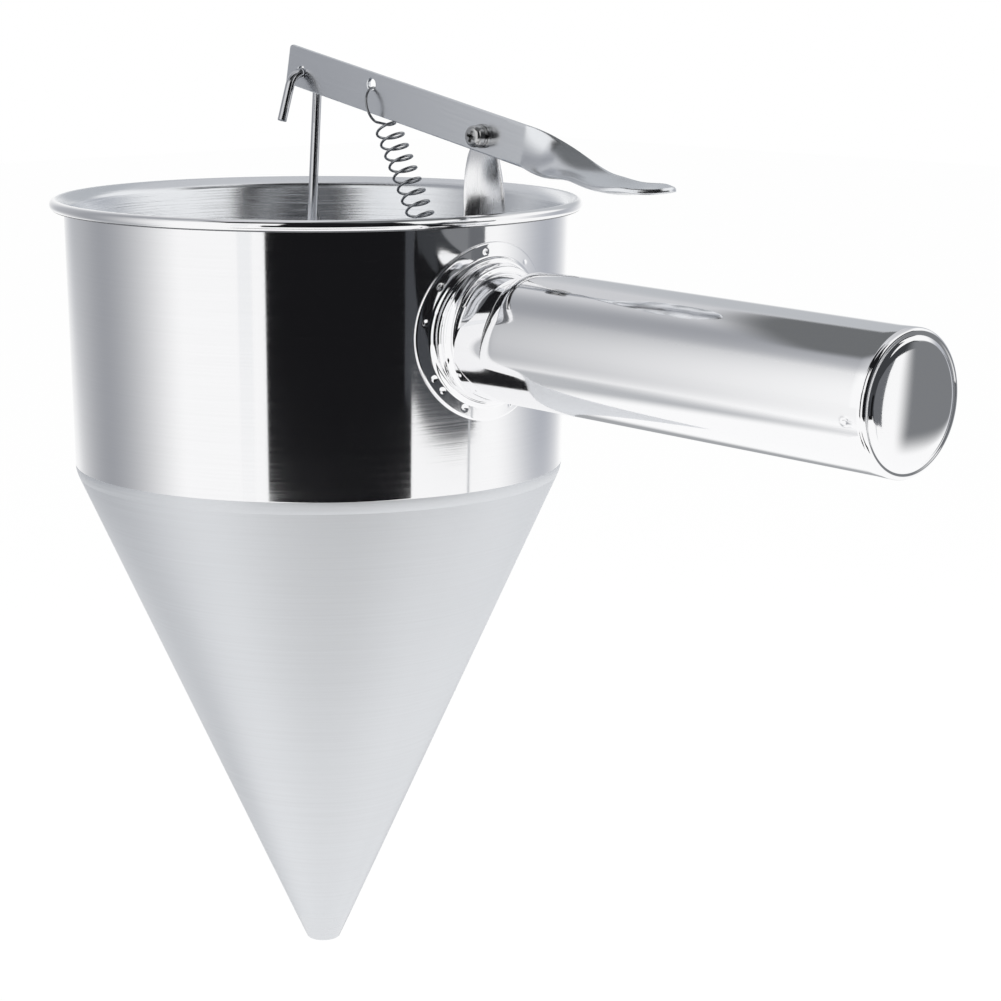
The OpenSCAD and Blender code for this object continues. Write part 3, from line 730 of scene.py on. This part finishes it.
class DISPENSER_OT_bracket(bpy.types.Operator):
    """Bracket strip: a round head, a quarter twist, a foot on the wall and an ear for the spring"""

    bl_idname = "dispenser.bracket"
    bl_label = "Bracket"

    def execute(self, context):
        v = context.scene.dispenser_lever
        ear = Vector(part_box("lever_bracket")[0]) / MM
        thick, front_y, bend_r = 1.0, -0.7, 1.1
        head_r, head_y = v.bracket_w / 2, front_y + thick / 2
        head_x, foot_x = PIVOT.x - 2.5, 66.4
        high_z, low_z = PIVOT.z + head_r, ear.z + thick / 2 + bend_r
        # The quarter twist runs from just under the head down to the foot
        twist_top, twist_foot = PIVOT.z - 5.3, 200.0
        bm = bmesh.new()
        bmesh.ops.create_grid(bm, x_segments=10, y_segments=72, size=0.5)
        for p in bm.verts:
            s, t = 2 * p.co.x, 0.5 - p.co.y
            z = high_z - t * (high_z - low_z)
            down = (twist_top - z) / (twist_top - twist_foot)
            c = min(1.0, max(0.0, down))
            turn = math.radians(90 * c)
            mid = head_x + (foot_x - head_x) * max(0.0, 2 * c - 1) ** 2.5
            half = head_r
            if down < 0:
                near = (z - twist_top) / (PIVOT.z - twist_top)
                mid = head_x + (PIVOT.x - head_x) * min(1.0, near)
                over = max(0.0, z - PIVOT.z)
                half = math.sqrt(max(0.0, head_r**2 - over**2))
            y_mid = head_y + (EAR_Y - head_y) * ease(c * 1.6)
            p.co = (mid + math.cos(turn) * half * s, y_mid + math.sin(turn) * half * s, z)
        bmesh.ops.remove_doubles(bm, verts=bm.verts, dist=0.02)
        # The foot's lower end turns into the bowl as an ear, which narrows towards its tip
        rows, ear_rows = 6, 8
        reach = foot_x - bend_r - ear.x
        rim = [e for e in bm.edges if e.is_boundary]
        edge = [e for e in rim if max(q.co.z for q in e.verts) < low_z + 0.1]
        for i in range(1, rows + 1):
            turn = math.radians(90 * i / rows)
            edge = pull_edge(bm, edge)
            for q in {q for e in edge for q in e.verts}:
                q.co.x = foot_x - bend_r * (1 - math.cos(turn))
                q.co.z = low_z - bend_r * math.sin(turn)
        for i in range(1, ear_rows + 1):
            taper = 0.94 if i < 6 else 0.97
            edge = pull_edge(bm, edge)
            for q in {q for e in edge for q in e.verts}:
                q.co.x = foot_x - bend_r - reach * i / ear_rows
                q.co.y = EAR_Y + (q.co.y - EAR_Y) * taper
        thicken(bm, thick, 0.16)
        strip = polished_strip_steel()
        finish_piece(bm, "bracket", "dispenser", strip, "lever_bracket", 40)
        return {"FINISHED"}


def thicken(bm, thick, share):
    """Gives a surface its thickness and softens its cut edges by a share of that."""
    bmesh.ops.recalc_face_normals(bm, faces=bm.faces)
    bmesh.ops.solidify(bm, geom=bm.faces, thickness=thick)
    bmesh.ops.recalc_face_normals(bm, faces=bm.faces)
    soften(bm, cut_edges(bm), share * thick)


def pad_middle(v):
    """Distance of the pad's middle from the pivot."""
    return v.twist_from + v.twist_len - v.twist_over + v.pad_len / 2


def lever_spot(v, a, s, t):
    """Where a point of the grip end lies.

    a is its distance from the pivot and s its place across the strip. t goes from 0 at the
    pad's middle to 1 at its round end, where the rows bend into arcs.
    """
    middle, long_half, wide_half = pad_middle(v), v.pad_len / 2, v.pad_w / 2
    widen_from, pad_tilt = v.twist_from + 7, math.radians(9.5)
    widen = ease((a - widen_from) / (middle - widen_from))
    w = (v.width / 2 + (wide_half - v.width / 2) * widen) * s
    if t > 0:
        a = middle + long_half * t * math.sqrt(1 - s * s / 2)
        w = wide_half * s * math.sqrt(1 - t * t / 2)
    twist = ease((a - v.twist_from) / v.twist_len)
    up = a - middle + v.pad_len / 4
    rise = v.rise - twist + math.tan(pad_tilt) * max(0.0, up) * ease(up / long_half)
    turn = math.radians(90) * twist**0.7
    over = max(0.0, a - middle) / long_half
    drop = v.pad_dish * ease((a - v.twist_from - v.twist_len / 2) / v.twist_len)
    drop *= (1 - s * s) if t <= 0 else (1 - (w / wide_half) ** 2) * (1 - over**4)
    along, across = math.cos(turn), math.sin(turn)
    return a, across * w + along * drop, rise + along * w - across * drop


class DISPENSER_OT_lever(bpy.types.Operator):
    """Lever strip with its holes, its quarter twist and the dished thumb pad"""

    bl_idname = "dispenser.lever"
    bl_label = "Thumb lever"

    def execute(self, context):
        v = context.scene.dispenser_lever
        cells, joint = 12, 8.0
        low, high = v.rise - v.width / 2, v.rise + v.width / 2

        # Flat part: an outline with its three holes, filled
        corner, low_corner, hook_hole, pivot_hole = 1.0, 0.5, 1.5, 1.55
        outline = [(joint, low + (high - low) * i / cells) for i in range(cells + 1)]
        outline += arc((-v.front + corner, high - corner), corner, 90, 180, 5)
        outline += arc((-v.front + low_corner, low + low_corner), low_corner, 180, 270, 4)
        holes = [(-v.rod_arm, 0.0, hook_hole), (-v.spring_arm, v.spring_up, hook_hole)]
        holes += [(0.0, 0.0, pivot_hole)]
        bm = bmesh.new()
        edges = []
        for loop in [outline] + [arc((x, z), r, 0, 345, 23) for x, z, r in holes]:
            ring = [bm.verts.new((x, 0.0, z)) for x, z in loop]
            edges += [bm.edges.new(pair) for pair in zip(ring, ring[1:] + ring[:1])]
        bmesh.ops.triangle_fill(bm, edges=edges, use_beauty=True, use_dissolve=False)

        # Grip end: a grid that twists and widens into the pad
        rows, rows_round = 96, 26
        grid = bmesh.new()
        bmesh.ops.create_grid(grid, x_segments=rows + rows_round, y_segments=cells, size=0.5)
        for p in grid.verts:
            row = (p.co.x + 0.5) * (rows + rows_round)
            a = joint + (pad_middle(v) - joint) * min(1.0, row / rows)
            p.co = lever_spot(v, a, 2 * p.co.y, max(0.0, row - rows) / rows_round)
        join(bm, grid)
        bmesh.ops.remove_doubles(bm, verts=bm.verts, dist=0.01)
        thicken(bm, v.thick, 0.3)
        sides = [q.co.y for q in bm.verts if q.co.x < 0]
        y = PIVOT.y - (min(sides) + max(sides)) / 2
        place = Matrix.Translation((PIVOT.x, y, PIVOT.z)) @ Matrix.Rotation(v.slope, 4, "Y")
        bmesh.ops.transform(bm, matrix=place, verts=bm.verts)
        name, strip = "thumb_lever_strip", rolled_strip_steel()
        finish_piece(bm, name, "thumb_lever", strip, "lever", 40)
        return {"FINISHED"}


class DISPENSER_OT_pivot(bpy.types.Operator):
    """Pivot screw with its cross recess, the washers and the nut"""

    bl_idname = "dispenser.pivot"
    bl_label = "Pivot screw, washers and nut"

    def execute(self, context):
        finish, slot = fastener_steel(), "fastener_steel"
        bore, washer_r, soft = 1.55, 3.1, 0.12
        # The stack on the pivot's axis: screw head, split washer, flat washer, lever,
        # bearing washer, bracket and nut
        head_h, split_t, flat_t, bearing_t, nut_t = 2.5, 0.7, 0.8, 0.5, 2.4
        lever_y, bearing_y, nut_y = -2.4, -1.2, 0.3
        gap = 0.1
        flat_y = lever_y - flat_t
        split_y = flat_y - split_t - 2 * gap
        head_y = split_y - head_h
        washers = (
            ("washer_flat", "flat_washer", flat_y, flat_t, washer_r),
            ("washer_bearing", "bearing_washer", bearing_y, bearing_t, washer_r + 0.4),
        )
        for name, node, y, thick, radius in washers:
            ring = [(bore, soft), (bore + soft, 0), (radius - soft, 0), (radius, soft)]
            ring += [(radius, thick - soft), (radius - soft, thick)]
            ring += [(bore + soft, thick), (bore, thick - soft)]
            bm = lathe(ring, 64)
            bmesh.ops.transform(bm, matrix=on_pivot(y), verts=bm.verts)
            finish_piece(bm, name, "dispenser", finish, node)

        # Split washer: a square coil of one turn with a gap between its ends
        split = math.radians(16)
        outer, low, high = washer_r - 0.2, gap, gap + split_t
        square = ((bore, low), (outer, low), (outer, high), (bore, high))
        bm = bmesh.new()
        corners = [bm.verts.new((r, 0, z)) for r, z in square]
        face = bm.faces.new(corners)
        aside = Matrix.Rotation(split / 2, 3, "Z")
        bmesh.ops.rotate(bm, verts=corners, cent=(0, 0, 0), matrix=aside)
        bmesh.ops.spin(
            bm, geom=[face] + list(face.edges) + corners, cent=(0, 0, 0), axis=(0, 0, 1),
            angle=math.tau - split, steps=60, use_merge=False,
        )
        bmesh.ops.recalc_face_normals(bm, faces=bm.faces)
        soften(bm, cut_edges(bm), 0.08)
        bmesh.ops.transform(bm, matrix=on_pivot(split_y), verts=bm.verts)
        finish_piece(bm, "washer_split", "dispenser", finish, "lock_washer")

        # Screw: a pan head, and a shank that ends in a chamfer a little past the nut
        head_r, round_r, shank_r, edge, past_nut = 2.8, 1.15, 1.5, 0.15, 1.2
        tail = nut_y + nut_t + past_nut - head_y
        profile = [(0.0, 0.0), (head_r * 0.66, 0.0)]
        profile += arc((head_r - round_r, round_r), round_r, -62, 0, 8)
        profile += [(head_r, head_h - edge), (head_r - edge, head_h), (shank_r, head_h)]
        profile += [(shank_r, tail - 0.5), (shank_r - 0.4, tail), (0.0, tail)]
        place = on_pivot(head_y) @ Matrix.Rotation(math.radians(20), 4, "Z")
        bm = lathe(profile, 64, closed=False)
        bmesh.ops.transform(bm, matrix=place, verts=bm.verts)
        screw = finish_piece(bm, "screw", "dispenser", finish, "pivot_screw")
        cut_cross(screw, place)

        # Nut: a hexagon with its corners turned off on both faces
        corner_r = 5.5 / math.sqrt(3)
        bm = bmesh.new()
        made = bmesh.ops.create_cone(
            bm, cap_ends=True, segments=6, radius1=corner_r, radius2=corner_r, depth=nut_t,
        )
        bmesh.ops.translate(bm, vec=(0, 0, nut_t / 2), verts=made["verts"])
        level = [e for e in bm.edges if abs(e.verts[0].co.z - e.verts[1].co.z) < MERGE]
        soften(bm, level, 0.35, 3)
        bmesh.ops.transform(bm, matrix=on_pivot(nut_y), verts=bm.verts)
        finish_piece(bm, "nut", "dispenser", finish, "pivot_nut")
        return {"FINISHED"}


def cut_cross(screw, place):
    """Cuts the cross recess into the screw's head."""
    wide, long, deep, sliver = 0.95, 3.0, 1.3, 0.002
    arms = bmesh.new()
    bmesh.ops.create_cube(arms, size=1.0, matrix=Matrix.Diagonal((wide, wide, 2 * deep, 1.0)))
    sides = [f for f in arms.faces if abs(f.normal.z) < 0.5]
    for face in bmesh.ops.extrude_discrete_faces(arms, faces=sides)["faces"]:
        outward = face.calc_center_median().normalized()
        bmesh.ops.translate(arms, vec=outward * (long - wide) / 2, verts=face.verts)
    bmesh.ops.recalc_face_normals(arms, faces=arms.faces)
    bmesh.ops.transform(arms, matrix=place, verts=arms.verts)
    bmesh.ops.scale(arms, vec=(MM, MM, MM), verts=arms.verts)
    tool = make_object(arms, "recess")
    cut = screw.modifiers.new("recess", "BOOLEAN")
    cut.operation, cut.solver, cut.object = "DIFFERENCE", "EXACT", tool
    bpy.context.view_layer.update()
    cut_screw = screw.evaluated_get(bpy.context.evaluated_depsgraph_get())
    shaped = bpy.data.meshes.new_from_object(cut_screw)
    screw.modifiers.clear()
    # The cut leaves faces without an area beside the fine rings of the head
    clean = bmesh.new()
    clean.from_mesh(shaped)
    bmesh.ops.dissolve_degenerate(clean, dist=sliver * MM, edges=clean.edges)
    clean.to_mesh(shaped)
    clean.free()
    shaped.name = screw.name
    screw.data = shaped
    bpy.data.objects.remove(tool)


class DISPENSER_OT_stopper(bpy.types.Operator):
    """Stopper: the hooked rod and the plug on its lower end"""

    bl_idname = "dispenser.stopper"
    bl_label = "Stopper rod and plug"

    def execute(self, context):
        plug_low, plug_high = (Vector(c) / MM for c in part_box("stopper_plug"))
        r, low, high = plug_high.x, plug_low.z, plug_high.z
        socket, socket_deep, rod_sunk = 1.3, 6.05, 5.5

        # Rod: up from the plug, a slight bend, an arch through the lever's hole and a leg
        hook_r, rod_r, splay, leg, slack = 5.0, 1.25, 17.3, 10.0, 0.125
        hook = joint_spot("rod_swing")
        arch = hook - Vector((0, 0, slack + hook_r))
        bend = Vector((hook.x * 0.88, 0.5, 205.0))
        lean = math.degrees(math.atan2(arch.y + hook_r - bend.y, arch.z - bend.z))
        turns = arc((0, 0), hook_r, -lean, 180 - splay, 40)
        over = [arch + Vector((0, y, z)) for y, z in turns]
        side = Vector((0, -math.sin(math.radians(splay)), -math.cos(math.radians(splay))))
        above = Vector((0, 0, high + 8))
        path = [Vector((0, 0, high - rod_sunk)), above]
        path += [above + (bend - above) * t for t in (0.05, 0.2, 0.4, 0.6, 0.8, 0.95)]
        path += [bend + (over[0] - bend) * t for t in (0.04, 0.3, 0.6, 0.9)]
        path += over + [over[-1] + side * leg * t for t in (0.2, 0.6, 0.975)]
        bm = wire_shape(path, rod_r, 48)
        soften(bm, cut_edges(bm), 0.25, 3)
        finish_piece(bm, "rod", "stopper", drawn_wire_steel(), "stopper_rod")

        # Plug: a rounded foot, a tapered side, a rounded shoulder and a collar on the rod
        body, collar = high - 6.0, 2.25
        plug = [(0.0, low)] + arc((1.0, low + 0.5), 0.5, -90, -30, 4)
        plug += [(r - 0.3, body - 0.15)] + arc((r - 0.5, body + 0.3), 0.5, -30, 0, 4)
        plug += arc((r - 0.5, body + 2.5), 0.5, 0, 90, 5)
        plug += [(collar + 0.25, body + 3.0), (collar, body + 3.2), (collar, high - 0.3)]
        plug += [(collar - 0.3, high), (socket, high)]
        plug += [(socket, high - socket_deep), (0.0, high - socket_deep)]
        bm = lathe(plug, 96, closed=False)
        finish_piece(bm, "plug", "stopper", turned_tip_steel(), "stopper_plug")
        return {"FINISHED"}


class DISPENSER_OT_spring(bpy.types.Operator):
    """Return spring, hooked in the lever above and in the bracket's ear below"""

    bl_idname = "dispenser.spring"
    bl_label = "Return spring"

    def execute(self, context):
        wire_r, coil_r, turns, lower = 0.35, 3.35, 15, 3.2
        ear = Vector(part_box("lever_bracket")[0]) / MM
        # The upper loop hangs in the lever's hole, and the lower one runs round the ear's tip
        top = Vector((24.934, PIVOT.y, 241.94))
        low = Vector((ear.x + 0.75, EAR_Y, ear.z - wire_r - 0.1 + lower))
        along = (low - top).normalized()
        side = along.cross(Vector((0, -1, 0))).normalized()
        back = side.cross(along)
        # The upper loop is an oval that hangs a little steeper than the coil
        hang, loop_half, loop_w = Vector((0.26, 0, -0.966)), 4.7, 3.4
        start, stop = 10.6, (low - top).length - lower - 1
        path = []
        for c, s in arc((0, 0), 1.0, -20, 252, 34):
            path.append(top + hang * loop_half * (1 - s) + Vector((0, loop_w * c, 0)))
        steps, lean = turns * 28, 0.12
        for i in range(steps + 1):
            t = i / steps
            a = math.radians(360 * turns * t - 90)
            r = coil_r * ease(turns * t / 0.3) * ease(turns * (1 - t) / 0.6)
            # Each turn leans a little, as the turns of a pulled spring do
            down = start + (stop - start) * t - lean * r * math.sin(a)
            path.append(top + along * down - side * r * math.cos(a) + back * r * math.sin(a))
        path += [low + Vector((x, 0, z)) for x, z in arc((0, 0), lower, 100, -212, 39)]
        bm, finish = wire_shape(path, wire_r, 10), spring_wire_steel()
        spring = finish_piece(bm, "spring", None, finish, "return_spring", 50)
        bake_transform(spring)
        return {"FINISHED"}


# ---- stage ----


def glow_material(name, code, soft=None):
    """A plain glowing studio surface.

    soft is the share of its half width and half height that fades out.
    """
    made, tree, out = new_material(name)
    glow = add(tree, "ShaderNodeEmission", {"Color": from_hex(code), "Strength": 1.0})
    if soft:
        place = add(tree, "ShaderNodeTexCoord").outputs["Object"]
        axes = add(tree, "ShaderNodeSeparateXYZ", {"Vector": place})
        masks = []
        for axis, share in zip(("X", "Y"), soft):
            side = add(tree, "ShaderNodeMath", {0: axes.outputs[axis]}, operation="ABSOLUTE")
            fade = {"Value": side.outputs[0], "From Min": 0.5, "From Max": 0.5 - share / 2}
            mask = add(tree, "ShaderNodeMapRange", fade, interpolation_type="SMOOTHSTEP")
            masks.append(mask.outputs["Result"])
        mask = add(tree, "ShaderNodeMath", {0: masks[0], 1: masks[1]}, operation="MULTIPLY")
        clear = add(tree, "ShaderNodeBsdfTransparent")
        mix = {0: mask.outputs[0], 1: clear.outputs[0], 2: glow.outputs[0]}
        glow = add(tree, "ShaderNodeMixShader", mix)
    tree.links.new(glow.outputs[0], out.inputs["Surface"])
    return made


def card(name, code, place, width, height, soft=None, corner=None, lean=0):
    """A studio card that faces the object's axis and only shows in reflections.

    place is its azimuth in degrees, its distance and the height of its middle. corner rounds
    its corners by a share of its size, and lean tips it forward by degrees.
    """
    azimuth, far, middle = place
    bm = bmesh.new()
    bmesh.ops.create_grid(bm, x_segments=1, y_segments=1, size=0.5)
    if corner:
        bmesh.ops.bevel(
            bm, geom=bm.verts, offset=corner, offset_type="OFFSET", segments=12,
            profile=0.5, affect="VERTICES", material=-1,
        )
    made = make_object(bm, name)
    angle = math.radians(azimuth)
    spot = Vector((far * math.cos(angle), far * math.sin(angle), middle))
    facing = Matrix.Rotation(math.radians(azimuth - 90), 4, "Z")
    upright = Matrix.Rotation(math.radians(90 + lean), 4, "X")
    sizes = Matrix.Diagonal((width, height, 1.0, 1.0))
    made.matrix_world = Matrix.Translation(spot) @ facing @ upright @ sizes
    made.data.materials.append(glow_material(name, code, soft))
    made.visible_camera = made.visible_diffuse = False
    made.visible_shadow = made.visible_transmission = False


def studio_world(scene):
    """Plain white light from all sides."""
    world = bpy.data.worlds.new("studio")
    scene.world = world
    world.use_nodes = True
    tree = world.node_tree
    tree.nodes.clear()
    light = add(tree, "ShaderNodeBackground", {"Color": from_hex("#FFFFFF"), "Strength": 1.0})
    add(tree, "ShaderNodeOutputWorld", {"Surface": light.outputs[0]})


def studio_floor():
    """Pale floor well below the object, which is shown held up."""
    height, half_width = -0.3, 6.0
    bm = bmesh.new()
    bmesh.ops.create_grid(bm, x_segments=1, y_segments=1, size=half_width)
    bmesh.ops.translate(bm, vec=(0, 0, height), verts=bm.verts)
    floor = make_object(bm, "floor")
    made, tree, out = new_material("white painted floor")
    rays = add(tree, "ShaderNodeLightPath").outputs
    seen = {0: rays["Is Camera Ray"], 1: rays["Is Glossy Ray"]}
    seen = add(tree, "ShaderNodeMath", seen, operation="MAXIMUM")
    # Seen straight or in metal it is nearly all white: it keeps a seventh of its own
    # shading, and so the object's soft shadow
    share = {0: seen.outputs[0], 1: 0.86}
    share = add(tree, "ShaderNodeMath", share, operation="MULTIPLY")
    paint = add(tree, "ShaderNodeBsdfDiffuse", {"Color": from_hex("#F8F8F8")})
    white = add(tree, "ShaderNodeEmission", {"Color": from_hex("#FFFFFF"), "Strength": 1.0})
    mix = {0: share.outputs[0], 1: paint.outputs[0], 2: white.outputs[0]}
    both = add(tree, "ShaderNodeMixShader", mix)
    tree.links.new(both.outputs[0], out.inputs["Surface"])
    floor.data.materials.append(made)


def studio_cards():
    """Cards that stand where the polished wall and the handle mirror them."""
    card("card_black", "#171719", (-31.35, 1.5, 0.155), 1.915, 0.9)
    card("card_upper", "#1B1B1D", (-28.5, 1.52, 2.6), 1.65, 4.0)
    card("card_dark", "#44464A", (8.85, 1.48, 0.105), 0.585, 0.51)
    card("card_dark_low", "#4E5054", (18.6, 1.49, -0.121), 1.04, 0.1, corner=0.3)
    card("card_grey", "#6A6C70", (28.5, 1.485, 0.048), 0.508, 0.384)
    card("card_near", "#3C3E41", (7.0, 0.3, 0.2175), 0.16, 0.065)
    card("card_thin", "#C4C6C9", (31.0, 1.5, -0.1), 0.05, 0.4, soft=(0.8, 0.3))
    card("card_pale", "#F5F6F7", (-73.0, 1.5, 0.6), 0.2, 1.8, soft=(0.3, 0.3))
    card("card_left", "#A0A2A7", (-144.0, 0.3, 0.46), 0.62, 1.08, soft=(1.0, 0.3))
    card("card_back_left", "#C3C5C9", (176.0, 1.6, 0.5), 2.0, 1.6, soft=(1.0, 0.5))
    card("card_right", "#B4B7BE", (84.0, 1.6, 0.15), 2.6, 1.1, soft=(1.0, 0.5))
    card("card_top", "#6E7072", (12.0, 0.097, 0.33), 0.2, 0.13, soft=(0.3, 0.5), lean=90)
    card("card_end", "#7C7E81", (14.5, 0.2382, 0.1775), 0.06, 0.055, soft=(0.3, 0.35))
    card("card_high", "#1B1B1D", (-50.0, 0.95, 1.75), 2.0, 1.0, lean=90)
    card("card_foot", "#1B1B1D", (-44.0, 0.5, -0.29), 0.75, 0.11, lean=-90)
    card("card_ceiling", "#CFD0D3", (160.0, 4.0, 5.0), 13.7, 13.7, soft=(0.4, 0.4), lean=90)
    card("card_low", "#A6A8AB", (138.0, 0.85, -0.29), 1.0, 0.9, soft=(0.5, 0.5), lean=-90)
    card("card_low_left", "#BCBEC1", (-155.0, 0.6, -0.29), 0.8, 0.5, soft=(0.6, 0.6), lean=-90)
    card("card_back", "#BDC0C4", (118.0, 2.5, 1.5), 3.0, 2.6, soft=(0.5, 0.5))


def studio_lamps(scene):
    """Three soft lamps aimed at the middle of the bowl."""
    aim = Vector((0, 0, 0.12))
    lamps = (
        ("key", (-0.9, -1.2, 1.6), 1.2, 5.0),
        ("fill", (1.3, 0.3, 1.3), 1.0, 3.2),
        ("back", (-0.6, 1.2, 1.1), 1.0, 3.2),
    )
    for name, spot, width, power in lamps:
        data = bpy.data.lights.new(name, "AREA")
        data.size, data.energy = width, power
        lamp = bpy.data.objects.new(name, data)
        lamp.visible_glossy = False
        lamp.location = spot
        lamp.rotation_euler = (aim - Vector(spot)).to_track_quat("-Z", "Y").to_euler()
        scene.collection.objects.link(lamp)


def studio_camera(scene):
    """Camera to the front and right of the bowl, a little above the rim."""
    # Its place, and its own right and upward directions
    spot = (0.595624, -0.514662, 0.277823)
    right = Vector((0.70031542, 0.71382489, 0.00351351))
    up = Vector((-0.13677929, 0.1293566, 0.98211929))
    data = bpy.data.cameras.new("camera")
    data.lens, data.sensor_width = 103.285, 36.0
    data.clip_start, data.clip_end = 0.01, 50.0
    camera = bpy.data.objects.new("camera", data)
    turn = Matrix((right, up, right.cross(up))).transposed().to_4x4()
    camera.matrix_world = Matrix.Translation(spot) @ turn
    scene.collection.objects.link(camera)
    scene.camera = camera


class DISPENSER_OT_stage(bpy.types.Operator):
    """Pale floor, soft light, studio cards and the camera"""

    bl_idname = "dispenser.stage"
    bl_label = "Studio"

    def execute(self, context):
        context.scene.view_settings.view_transform = "Standard"
        studio_world(context.scene)
        studio_floor()
        studio_cards()
        studio_lamps(context.scene)
        studio_camera(context.scene)
        return {"FINISHED"}


STEPS = (
    DISPENSER_OT_wall,
    DISPENSER_OT_cone,
    DISPENSER_OT_plate,
    DISPENSER_OT_grip,
    DISPENSER_OT_bracket,
    DISPENSER_OT_lever,
    DISPENSER_OT_pivot,
    DISPENSER_OT_stopper,
    DISPENSER_OT_spring,
    DISPENSER_OT_stage,
)


class DISPENSER_PT_panel(bpy.types.Panel):
    """Lists the steps and the sizes"""

    bl_label = "Batter dispenser"
    bl_idname = "DISPENSER_PT_panel"
    bl_space_type = "VIEW_3D"
    bl_region_type = "UI"
    bl_category = "Dispenser"

    def draw(self, context):
        for step in STEPS:
            self.layout.operator(step.bl_idname)
        for group in GROUPS:
            column = self.layout.column(align=True)
            values = getattr(context.scene, group)
            for name in values.bl_rna.properties.keys():
                if name not in ("rna_type", "name"):
                    column.prop(values, name)


GROUPS = {
    "dispenser_bowl": DispenserBowl,
    "dispenser_handle": DispenserHandle,
    "dispenser_lever": DispenserLever,
    "dispenser_finish": DispenserFinish,
}


def register():
    for kind in (*GROUPS.values(), *STEPS, DISPENSER_PT_panel):
        bpy.utils.register_class(kind)
    for name, kind in GROUPS.items():
        setattr(bpy.types.Scene, name, bpy.props.PointerProperty(type=kind))


def unregister():
    for name in GROUPS:
        delattr(bpy.types.Scene, name)
    for kind in (DISPENSER_PT_panel, *reversed(STEPS), *reversed(GROUPS.values())):
        bpy.utils.unregister_class(kind)


def main():
    register()
    for step in STEPS:
        family, name = step.bl_idname.split(".")
        getattr(getattr(bpy.ops, family), name)()


if __name__ == "__main__":
    main()
